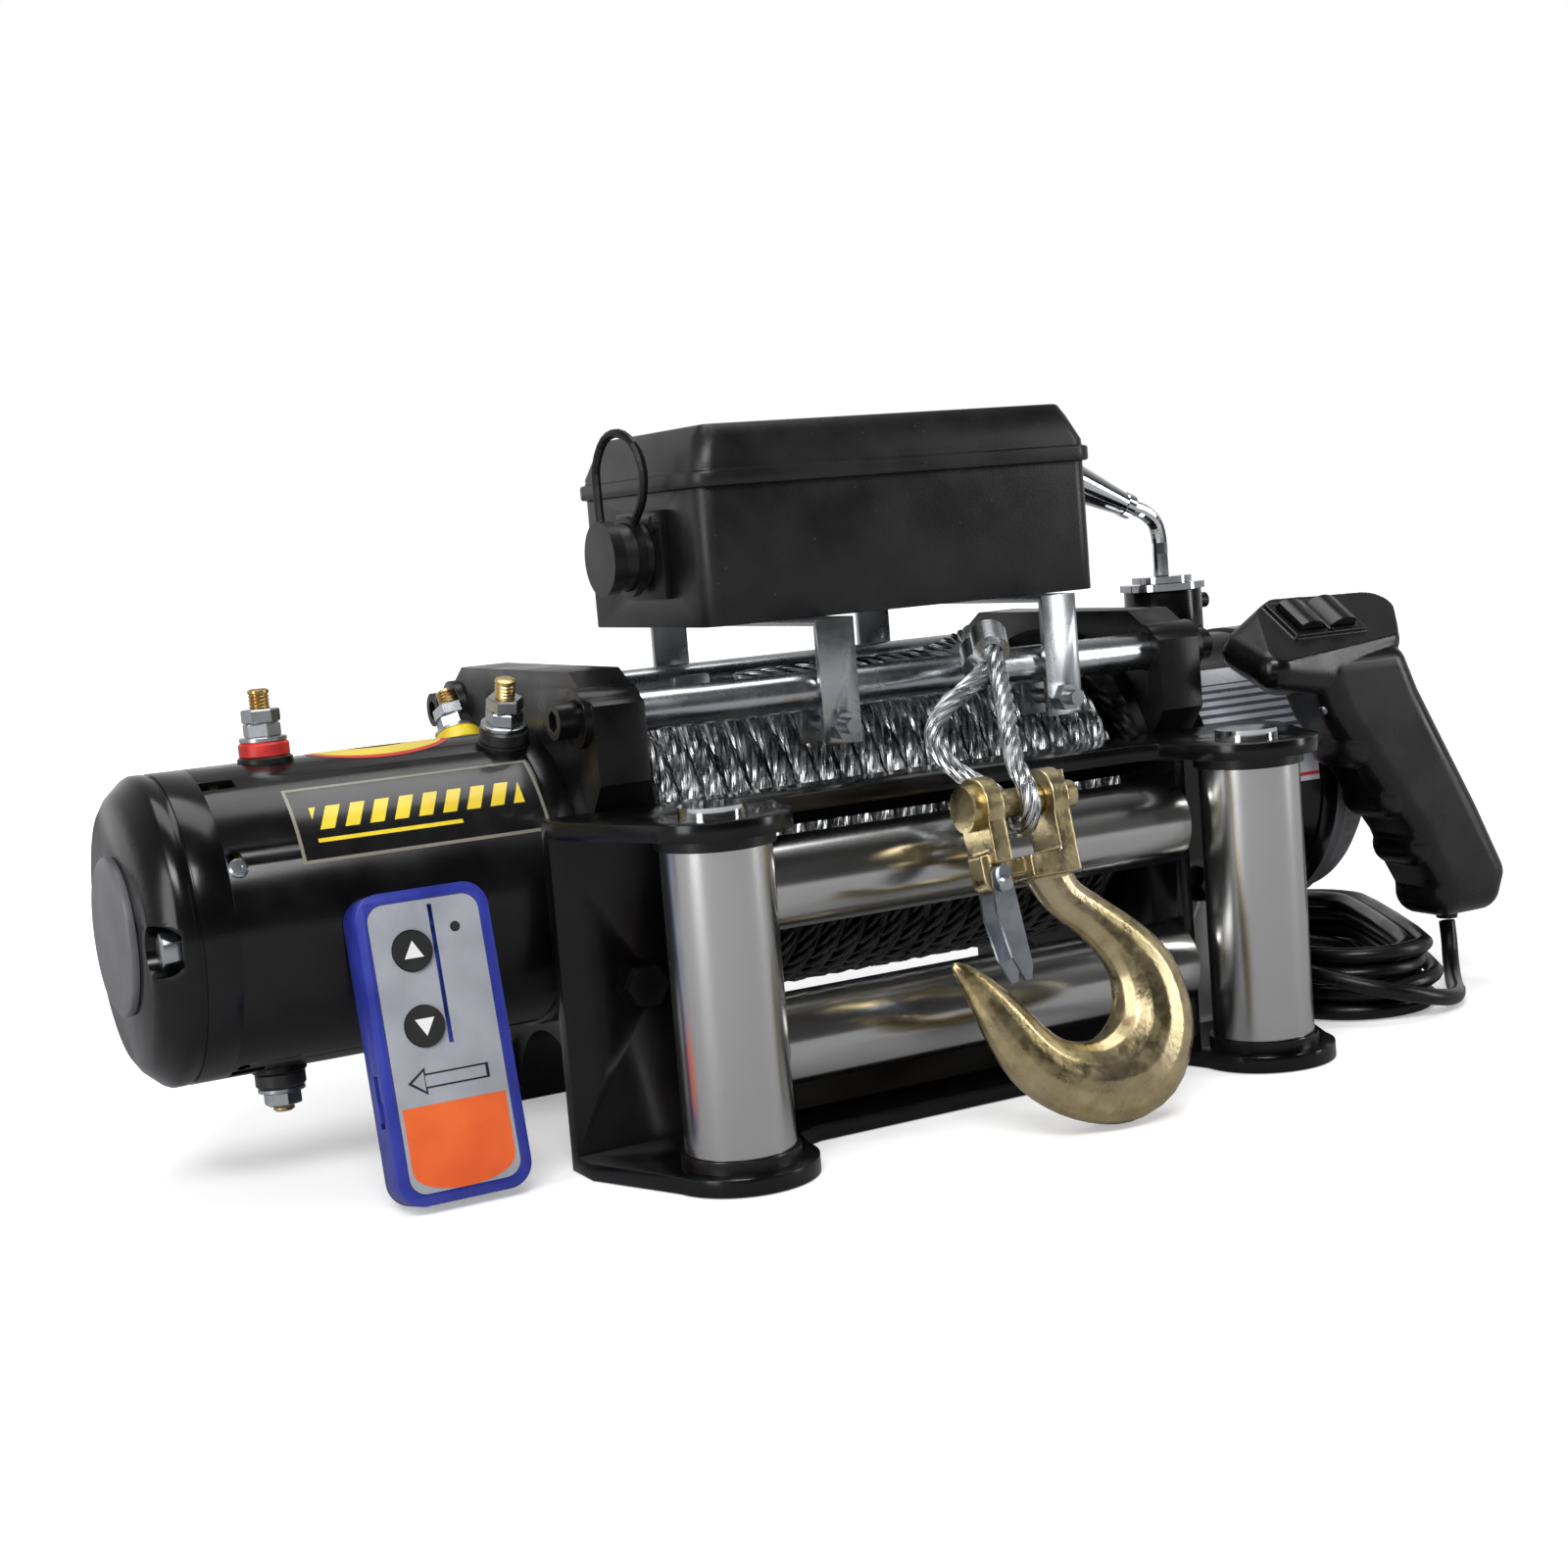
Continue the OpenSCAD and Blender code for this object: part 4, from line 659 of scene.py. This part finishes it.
# Solid, name of its dressed copy, and the width of its eased edges in mm
EASED = [
    ("motor_case", "motor_can", 0.5),
    ("motor_end_cap", "motor_end_bell", 0.5),
    ("end_plug", "motor_end_disc", 0.6),
    ("drum_support_motor", "motor_side_support", 1.2),
    ("drum_support_gear", "gear_side_support", 1.2),
    ("gear_housing", "gearbox_case", 0.6),
    ("gear_end_cover", "gearbox_end_cover", 0.8),
    ("box_body", "control_box", 1.2),
    ("box_lid", "control_box_lid", 1.0),
    ("fairlead_frame", "fairlead", 0.8),
    ("box_brackets", "box_straps", 0.4),
    ("tie_bars", "tie_rods", 0.5),
    ("through_bolts", "through_bolt_heads", 0.5),
    ("clutch_housing", "clutch_neck", 0.8),
    ("remote_body", "remote_case", 1.0),
    ("handset_socket", "box_socket", 0.5),
]
LATCH_MIDDLE = (-19 * MM, -155 * MM, 80 * MM)
LATCH_NARROWING = (0.62, 0.8, 1)


def narrow_latch():
    """The latch as the slim strip that shows, inside the room its solid takes."""
    latch = copied_solid("hook_latch", "latch_plate")
    bpy.ops.object.mode_set(mode="EDIT")
    bpy.ops.mesh.select_all(action="SELECT")
    bpy.ops.transform.resize(value=LATCH_NARROWING, center_override=LATCH_MIDDLE)
    bpy.ops.object.mode_set(mode="OBJECT")
    stand_for(latch, "hook_latch", FINISH["latch_zinc"])


for node, name, ease in EASED:
    eased_solid(node, name, ease)
forged_solid("hook", "forged_hook", 0.7, 4)
forged_solid("handset_shell", "handset_body", 0.7, 5)
narrow_latch()


# Small details


def belong(piece, body, slot, material, *replaced):
    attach(piece, body)
    if replaced:
        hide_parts(*replaced)
    return coat(piece, material)


def start_disc(name, sides, radius):
    """A filled disc at the origin, left in edit mode with all of it selected."""
    bpy.ops.mesh.primitive_circle_add(vertices=sides, radius=radius, fill_type="NGON", location=(0, 0, 0))
    piece = bpy.context.object
    piece.name = name
    bpy.ops.object.mode_set(mode="EDIT")
    bpy.ops.mesh.select_all(action="SELECT")
    return piece


def close_up():
    """Turns the faces outwards and leaves edit mode."""
    bpy.ops.mesh.select_all(action="SELECT")
    bpy.ops.mesh.normals_make_consistent(inside=False)
    bpy.ops.object.mode_set(mode="OBJECT")


def stacked(name, sides, profile):
    """A solid pulled up from a disc. Each step (height, radius) lifts the top face and resizes it."""
    piece = start_disc(name, sides, profile[0][1] * MM)
    bpy.ops.transform.translate(value=(0, 0, profile[0][0] * MM))
    for (z0, r0), (z1, r1) in zip(profile, profile[1:]):
        bpy.ops.mesh.extrude_region_move(TRANSFORM_OT_translate={"value": (0, 0, (z1 - z0) * MM)})
        bpy.ops.transform.resize(value=(r1 / r0, r1 / r0, 1), center_override=(0, 0, z1 * MM))
    close_up()
    bpy.ops.object.shade_smooth_by_angle(angle=radians(32))
    return piece


def copy_of(piece, name):
    twin = bpy.data.objects.new(name, piece.data.copy())
    scene.collection.objects.link(twin)
    return twin


def on_can(x, lean):
    """Places a piece drawn up from the drum axis, by its x and its lean from the top to the front."""
    return Matrix.Translation((x * MM, 0, AXIS_Z)) @ Matrix.Rotation(radians(lean), 4, "X")


ROOT_SHARE, TIP_SHARE, TIP = 0.86, 0.75, 0.6


def thread(z0, z1, r, pitch):
    """Steps of a threaded end for stacked, with a chamfered tip."""
    steps, z = [(z0, r)], z0
    while z + pitch < z1 - TIP:
        steps += [(z + pitch / 2, r * ROOT_SHARE), (z + pitch, r)]
        z += pitch
    return steps + [(z1 - TIP, r), (z1, r * TIP_SHARE)]


# Place along the motor, lean from the top, and whether the stud is long enough for a lock nut
TERMINALS = {"red": (-232, 0, True), "black": (-147, 19, True), "yellow": (-147, -30, True),
             "bottom": (-240, 176, False)}
STUD_FOOT, STUD_TOP, SHORT_STUD_TOP = 53, 82, 72
STUD_R, STUD_PITCH = 3.9, 1.25
LOCK_NUT_LIFT, LOCK_NUT_TURN = 5.1 * MM, radians(17)
RINGS = [
    ("ring", "insulator", 32, [(57.6, 8.8), (58, 9.2), (62, 9.2), (63, 8.2)]),
    ("foot", "black_rubber", 32, [(54, 10), (57, 10), (57.6, 9.2)]),
    ("washer", "zinc", 32, [(63, 8.2), (63.2, 8.6), (64.4, 8.6), (64.6, 8.2)]),
    ("nut", "zinc", 6, [(64.6, 6.4), (65.1, 7), (69.1, 7), (69.6, 6.4)]),
]
STANDS_FOR = {"red_stud": ["terminal_studs"], "red_ring": ["terminal_insulators"]}


def place_copy(model, name, place, slot):
    piece = copy_of(model, name)
    piece.data.transform(place)
    belong(piece, "winch", slot, FINISH[slot], *STANDS_FOR.get(name, []))


def add_terminals():
    """Threaded studs on the motor, each with its foot, coloured ring, washer and nuts."""
    models = {name: (stacked(name, sides, profile), slot) for name, slot, sides, profile in RINGS}
    stud = stacked("stud", 20, thread(STUD_FOOT, STUD_TOP, STUD_R, STUD_PITCH))
    short_stud = stacked("short_stud", 20, thread(STUD_FOOT, SHORT_STUD_TOP, STUD_R, STUD_PITCH))
    for label, (x, lean, long) in TERMINALS.items():
        place = on_can(x, lean)
        if long:
            place_copy(stud, f"{label}_stud", place, "stud_brass")
        else:
            place_copy(short_stud, f"{label}_short_stud", place, "stud_brass")
        for name, (model, slot) in models.items():
            place_copy(model, f"{label}_{name}", place, slot)
        if long:
            lift = Matrix.Translation((0, 0, LOCK_NUT_LIFT)) @ Matrix.Rotation(LOCK_NUT_TURN, 4, "Z")
            place_copy(models["nut"][0], f"{label}_lock_nut", place @ lift, "zinc")
    for model in [stud, short_stud] + [model for model, _ in models.values()]:
        bpy.data.objects.remove(model)


add_terminals()


LABEL_T, STICKER_T, PRINT_T = 0.12 * MM, 0.1 * MM, 0.1 * MM


def can_patch(name, radius, x0, x1, a0, a1):
    """A thin label bent round the drum axis, between two places along it and two leans from the top."""
    bpy.ops.mesh.primitive_cylinder_add(
        vertices=256, radius=radius * MM, depth=(x1 - x0) * MM, end_fill_type="NOTHING",
        rotation=(0, pi / 2, 0), location=((x0 + x1) / 2 * MM, 0, AXIS_Z),
    )
    piece = bpy.context.object
    piece.name = name
    bpy.ops.object.transform_apply(location=True, rotation=True, scale=True)
    bpy.ops.object.mode_set(mode="EDIT")
    for angle, inner in ((a0, True), (a1, False)):
        a = radians(angle)
        bpy.ops.mesh.select_all(action="SELECT")
        bpy.ops.mesh.bisect(
            plane_co=(0, 0, AXIS_Z), plane_no=(0, -cos(a), -sin(a)), clear_inner=inner, clear_outer=not inner
        )
    bpy.ops.object.mode_set(mode="OBJECT")
    thick = piece.modifiers.new("thick", "SOLIDIFY")
    thick.thickness = LABEL_T
    thick.offset = 0
    finish_modifiers(piece)
    bpy.ops.object.shade_smooth_by_angle(angle=radians(30))
    return piece


def round_coords(w, place):
    """Place along the drum axis and lean from the top towards the front, in degrees."""
    where = w.parts_of(place)
    up = w.maths("SUBTRACT", where["Z"], AXIS_Z)
    lean = w.maths("ARCTAN2", w.maths("MULTIPLY", where["Y"], -1.0), up)
    return where["X"], w.maths("MULTIPLY", lean, degrees(1))


def band(w, value, low, high):
    return w.both(w.maths("GREATER_THAN", value, low), w.maths("LESS_THAN", value, high))


def field(w, x, lean, x0, x1, lean0, lean1):
    """1 inside a field of a label, 0 outside it."""
    return w.both(band(w, lean, lean0, lean1), band(w, x, x0, x1))


def stripes(w, value, pitch, gap_share):
    """1 on the bars of a row with this pitch, 0 in the gaps."""
    return w.maths("GREATER_THAN", w.maths("FRACT", w.maths("MULTIPLY", value, 1 / pitch)), gap_share)


# Fields of the labels: from and to along the drum axis in metres, then from and to in lean
BARS_FIELD = (-0.229, -0.151, 43.5, 53.5)
UNDERLINE_FIELD = (-0.229, -0.176, 57.0, 58.6)
INSIDE_BORDER = (-0.2348, -0.1452, 34.2, 64.8)
RULES_FIELD = (0.0, 0.203, 46.0, 80.0)
RED_LINE = (87.6, 89.0)
BAR_PITCH, BAR_GAP, BAR_SLANT = 9.0, 0.42, 0.45
RULE_PITCH, RULE_GAP = 3.6, 0.55
BORDER_SHARE = 0.55


def decal_finish():
    """Black label with a thin pale border and plain slanted yellow bars."""
    material, w, shader, place = new_finish("decal", coat=0.3, specular=0.4)
    x, lean = round_coords(w, place)
    slanted = w.maths("ADD", w.maths("MULTIPLY", x, 1 / MM), w.maths("MULTIPLY", lean, BAR_SLANT))
    bars = w.both(stripes(w, slanted, BAR_PITCH, BAR_GAP), field(w, x, lean, *BARS_FIELD))
    marks = w.maths("MAXIMUM", bars, field(w, x, lean, *UNDERLINE_FIELD))
    border = w.maths("SUBTRACT", 1.0, field(w, x, lean, *INSIDE_BORDER))
    cloudy = w.effect(CLOUDY, place)["Mask"]
    black = w.mixed(cloudy, (0.004, 0.004, 0.0045, 1), (0.008, 0.008, 0.0085, 1))
    yellow = w.mixed(cloudy, (0.62, 0.46, 0.02, 1), (0.74, 0.56, 0.04, 1))
    colour = w.mixed(marks, black, yellow)
    colour = w.mixed(w.maths("MULTIPLY", border, BORDER_SHARE), colour, (0.34, 0.32, 0.26, 1))
    w.feed(shader.inputs["Base Color"], colour)
    w.feed(shader.inputs["Roughness"], w.ranged(cloudy, 0, 1, 0.2, 0.32))
    return material


def gear_label_finish():
    """Pale label with plain grey-blue rules and a red line along its lower edge."""
    material, w, shader, place = new_finish("gear_label", coat=0.2)
    x, lean = round_coords(w, place)
    rules = w.both(stripes(w, lean, RULE_PITCH, RULE_GAP), field(w, x, lean, *RULES_FIELD))
    red = band(w, lean, *RED_LINE)
    cloudy = w.effect(CLOUDY, place)["Mask"]
    pale = w.mixed(cloudy, (0.42, 0.43, 0.46, 1), (0.58, 0.59, 0.62, 1))
    colour = w.mixed(rules, pale, (0.08, 0.085, 0.13, 1))
    w.feed(shader.inputs["Base Color"], w.mixed(red, colour, (0.5, 0.03, 0.05, 1)))
    w.feed(shader.inputs["Roughness"], w.ranged(cloudy, 0, 1, 0.26, 0.4))
    return material


belong(can_patch("motor_decal", 56.1, -236, -144, 33, 66), "winch", "black_gloss", decal_finish())
belong(can_patch("gearbox_label", 62.1, 150, 205, 38, 91), "winch", "black_gloss", gear_label_finish())

STICKER_X = -190 * MM
INSET_SHARE = 0.08
CAN_SCREW_X, CAN_SCREW_LEAN = -258.5, 63.9


def oval_sticker(name, length, width, height, material, slot):
    """An oval laid over the top of the motor can."""
    piece = start_disc(name, 64, length / 2 * MM)
    bpy.ops.transform.resize(value=(1, width / length, 1), center_override=(0, 0, 0))
    for _ in range(5):
        bpy.ops.mesh.inset(thickness=width * INSET_SHARE * MM)
    bpy.ops.mesh.select_all(action="SELECT")
    bpy.ops.transform.translate(value=(STICKER_X, 0, AXIS_Z + 60 * MM))
    bpy.ops.object.mode_set(mode="OBJECT")
    wrap = piece.modifiers.new("wrap", "SHRINKWRAP")
    wrap.target = bpy.data.objects["motor_can"]
    wrap.wrap_method = "PROJECT"
    wrap.use_project_z = True
    wrap.use_negative_direction = True
    wrap.use_positive_direction = False
    wrap.offset = height * MM
    thick = piece.modifiers.new("thick", "SOLIDIFY")
    thick.thickness = STICKER_T
    thick.offset = 1
    finish_modifiers(piece)
    bpy.ops.object.shade_smooth_by_angle(angle=radians(30))
    return belong(piece, "winch", slot, material)


oval_sticker("oval_rim", 54, 34, 0.06, FINISH["print_red"], "insulator")
oval_sticker("oval_face", 49, 29, 0.2, FINISH["print_yellow"], "insulator")
can_screw = stacked("can_screw", 20, [(55.5, 3.4), (56.6, 3.4), (57.4, 2.6), (57.4, 1.4), (56.8, 1.2)])
can_screw.data.transform(on_can(CAN_SCREW_X, CAN_SCREW_LEAN))
belong(can_screw, "winch", "zinc", FINISH["zinc"])


# Remote face

REMOTE_LEAN = radians(12)
REMOTE_T = 16 * MM
REMOTE_CORNER = (-226.5 * MM, -93.4 * MM, REMOTE_T * sin(REMOTE_LEAN))
AT_REMOTE = Matrix.Translation(REMOTE_CORNER) @ Matrix.Rotation(-REMOTE_LEAN, 4, "X")
BUTTON_FRONT, FACE_FRONT = -0.8, 0.4


def flat_print(name, outline, centre, front, finish, slot=None, body="winch"):
    """A thin printed shape on the remote. Outline is (sides, reach across and up, spin in degrees)."""
    sides, size, spin = outline
    piece = start_disc(name, sides, 1.0 * MM)
    bpy.ops.transform.rotate(value=radians(spin), orient_axis="Z", center_override=(0, 0, 0))
    bpy.ops.transform.resize(value=(*size, 1), center_override=(0, 0, 0))
    bpy.ops.mesh.extrude_region_move(TRANSFORM_OT_translate={"value": (0, 0, PRINT_T)})
    close_up()
    stand = Matrix.Translation((centre[0] * MM, front * MM, centre[1] * MM)) @ Matrix.Rotation(pi / 2, 4, "X")
    piece.data.transform(AT_REMOTE @ stand)
    return belong(piece, body, slot or finish, FINISH[finish])


for button, spin, height in (("up", 0, 85.4), ("down", 180, 60.6)):
    flat_print(f"{button}_mark", (3, (4.0, 4.0), spin), (18, height), BUTTON_FRONT, "print_white",
               "remote_grey", body_of_node[f"remote_{button}"])
for name, outline, centre, front, finish, slot in [
    ("led_window", (24, (1.8, 1.8), 0), (34.5, 92), FACE_FRONT, "button_black", None),
    ("column_line", (4, (1.1, 34), 45), (26.5, 77), FACE_FRONT + 0.1, "remote_blue", None),
    ("lower_panel", (4, (26.2, 15.4), 45), (24, 22.5), FACE_FRONT, "print_orange", "remote_grey"),
    ("lower_panel_round", (48, (18.2, 7.4), 0), (24, 11.5), FACE_FRONT + 0.02, "print_orange", "remote_grey"),
    ("arrow_head", (3, (4.4, 5.4), -90), (13.2, 41.5), FACE_FRONT, "button_black", None),
    ("arrow_shaft", (4, (16.4, 3.6), 45), (26.4, 41.5), FACE_FRONT, "button_black", None),
    ("arrow_fill", (4, (15.4, 2.7), 45), (26.0, 41.5), FACE_FRONT - 0.04, "remote_grey", None),
    ("arrow_point", (3, (3.0, 3.9), -90), (13.3, 41.5), FACE_FRONT - 0.04, "remote_grey", None),
]:
    flat_print(name, outline, centre, front, finish, slot)


# Screw in the handset's grip and rivet of the latch

GRIP_SCREW_PLACE = Vector((184.7, -90.1, 127.3)) * MM
GRIP_SCREW_AXIS = Vector((-0.91, -0.12, -0.39))
RIVET_PLACE = Vector((-19.9, -157.2, 91.5)) * MM

grip_screw = stacked("grip_screw", 16, [(-1.2, 2.0), (0.1, 2.0), (0.4, 1.6), (0.1, 0.9)])
grip_turn = GRIP_SCREW_AXIS.to_track_quat("Z", "Y").to_matrix().to_4x4()
grip_screw.data.transform(Matrix.Translation(GRIP_SCREW_PLACE) @ grip_turn)
belong(grip_screw, "winch", "zinc", FINISH["zinc"])
rivet = stacked("latch_rivet", 20, [(0, 3.0), (1.0, 3.0), (1.8, 2.2), (1.9, 0.9)])
rivet.data.transform(Matrix.Translation(RIVET_PLACE) @ Matrix.Rotation(pi / 2, 4, "X"))
belong(rivet, body_of_node["hook_latch"], "zinc", FINISH["zinc"])


# Floor, lamps and background


FLOOR_SIZE, FLOOR_Z = 12, -0.4 * MM
WHITE, BLACK = (1, 1, 1, 1), (0, 0, 0, 1)
FLOOR_PALE, FLOOR_MIRRORED = (0.88, 0.88, 0.88, 1), (0.3, 0.3, 0.31, 1)
NEAR_GLOW, MIRRORED_GLOW = 0.34, 0.18
ROOM_GREY = (0.36, 0.36, 0.37, 1)


def add_stage():
    """Pale floor that keeps the shadow by the object and turns plain white further off."""
    bpy.ops.mesh.primitive_plane_add(size=FLOOR_SIZE, location=(0, 0, FLOOR_Z))
    floor_piece = bpy.context.object
    floor_piece.name = "studio_floor"
    material = bpy.data.materials.new("studio_floor")
    material.use_nodes = True
    tree = material.node_tree
    tree.nodes.remove(tree.nodes["Principled BSDF"])
    w = Wiring(tree)
    path = w.add("ShaderNodeLightPath").outputs
    mirrored = path["Is Glossy Ray"]
    matt = w.add("ShaderNodeBsdfDiffuse", {"Color": w.mixed(mirrored, FLOOR_PALE, FLOOR_MIRRORED)})
    place = w.add("ShaderNodeTexCoord").outputs["Object"]
    away = w.add("ShaderNodeVectorMath", {0: place}, operation="LENGTH").outputs["Value"]
    whiter = w.ranged(away, 0.4, 0.9, NEAR_GLOW, 1.0)
    strength = w.both(whiter, w.ranged(mirrored, 0, 1, 1.0, MIRRORED_GLOW))
    glow = w.add("ShaderNodeEmission", {"Color": WHITE, "Strength": strength})
    none = w.add("ShaderNodeEmission", {"Color": BLACK, "Strength": 0.0})
    not_camera = w.maths("MAXIMUM", mirrored, path["Is Transmission Ray"])
    seen = w.maths("MAXIMUM", path["Is Camera Ray"], not_camera)
    lift = w.add("ShaderNodeMixShader", {0: seen, 1: none.outputs[0], 2: glow.outputs[0]})
    both = w.add("ShaderNodeAddShader", {0: matt.outputs[0], 1: lift.outputs[0]})
    w.feed(tree.nodes["Material Output"].inputs["Surface"], both.outputs[0])
    coat(floor_piece, material)


def add_world():
    """White to the camera, a studio that is bright behind the object to mirrors, and even grey light."""
    world = bpy.data.worlds.new("studio")
    scene.world = world
    world.use_nodes = True
    w = Wiring(world.node_tree)
    path = w.add("ShaderNodeLightPath").outputs
    direction = w.parts_of(w.add("ShaderNodeTexCoord").outputs["Generated"])
    behind = w.ranged(direction["Y"], -0.35, 0.55, 0.06, 0.9)
    low = w.ranged(direction["Z"], 0.0, 0.8, 1.0, 0.35)
    room = w.both(behind, low)
    mirrored = w.add("ShaderNodeCombineColor", {"Red": room, "Green": room, "Blue": room}).outputs[0]
    unseen = w.mixed(path["Is Glossy Ray"], ROOM_GREY, mirrored)
    seen = w.maths("MAXIMUM", path["Is Camera Ray"], path["Is Transmission Ray"])
    background = world.node_tree.nodes["Background"]
    w.feed(background.inputs["Color"], w.mixed(seen, unseen, WHITE))
    background.inputs["Strength"].default_value = 1.0


def add_softbox(name, place, aim, size, power):
    data = bpy.data.lights.new(name, "AREA")
    data.shape = "RECTANGLE"
    data.size, data.size_y = size
    data.energy = power
    lamp = bpy.data.objects.new(name, data)
    scene.collection.objects.link(lamp)
    lamp.location = place
    lamp.rotation_euler = (Vector(aim) - Vector(place)).to_track_quat("-Z", "Y").to_euler()


add_stage()
add_world()
MIDDLE = (0, 0, 0.1)
for name, place, aim, size, power in [
    ("key_softbox", (-1.0, -1.5, 1.75), MIDDLE, (1.3, 0.6), 34),
    ("left_strip", (-1.75, -0.7, 0.55), (-0.1, 0, 0.1), (0.6, 1.3), 13),
    ("top_softbox", (0.1, 0.2, 2.2), MIDDLE, (1.6, 1.0), 18),
    ("right_strip", (1.9, -1.3, 0.7), (0.1, 0, 0.1), (0.35, 1.5), 14),
]:
    add_softbox(name, place, aim, size, power)
scene.view_settings.view_transform = "Standard"
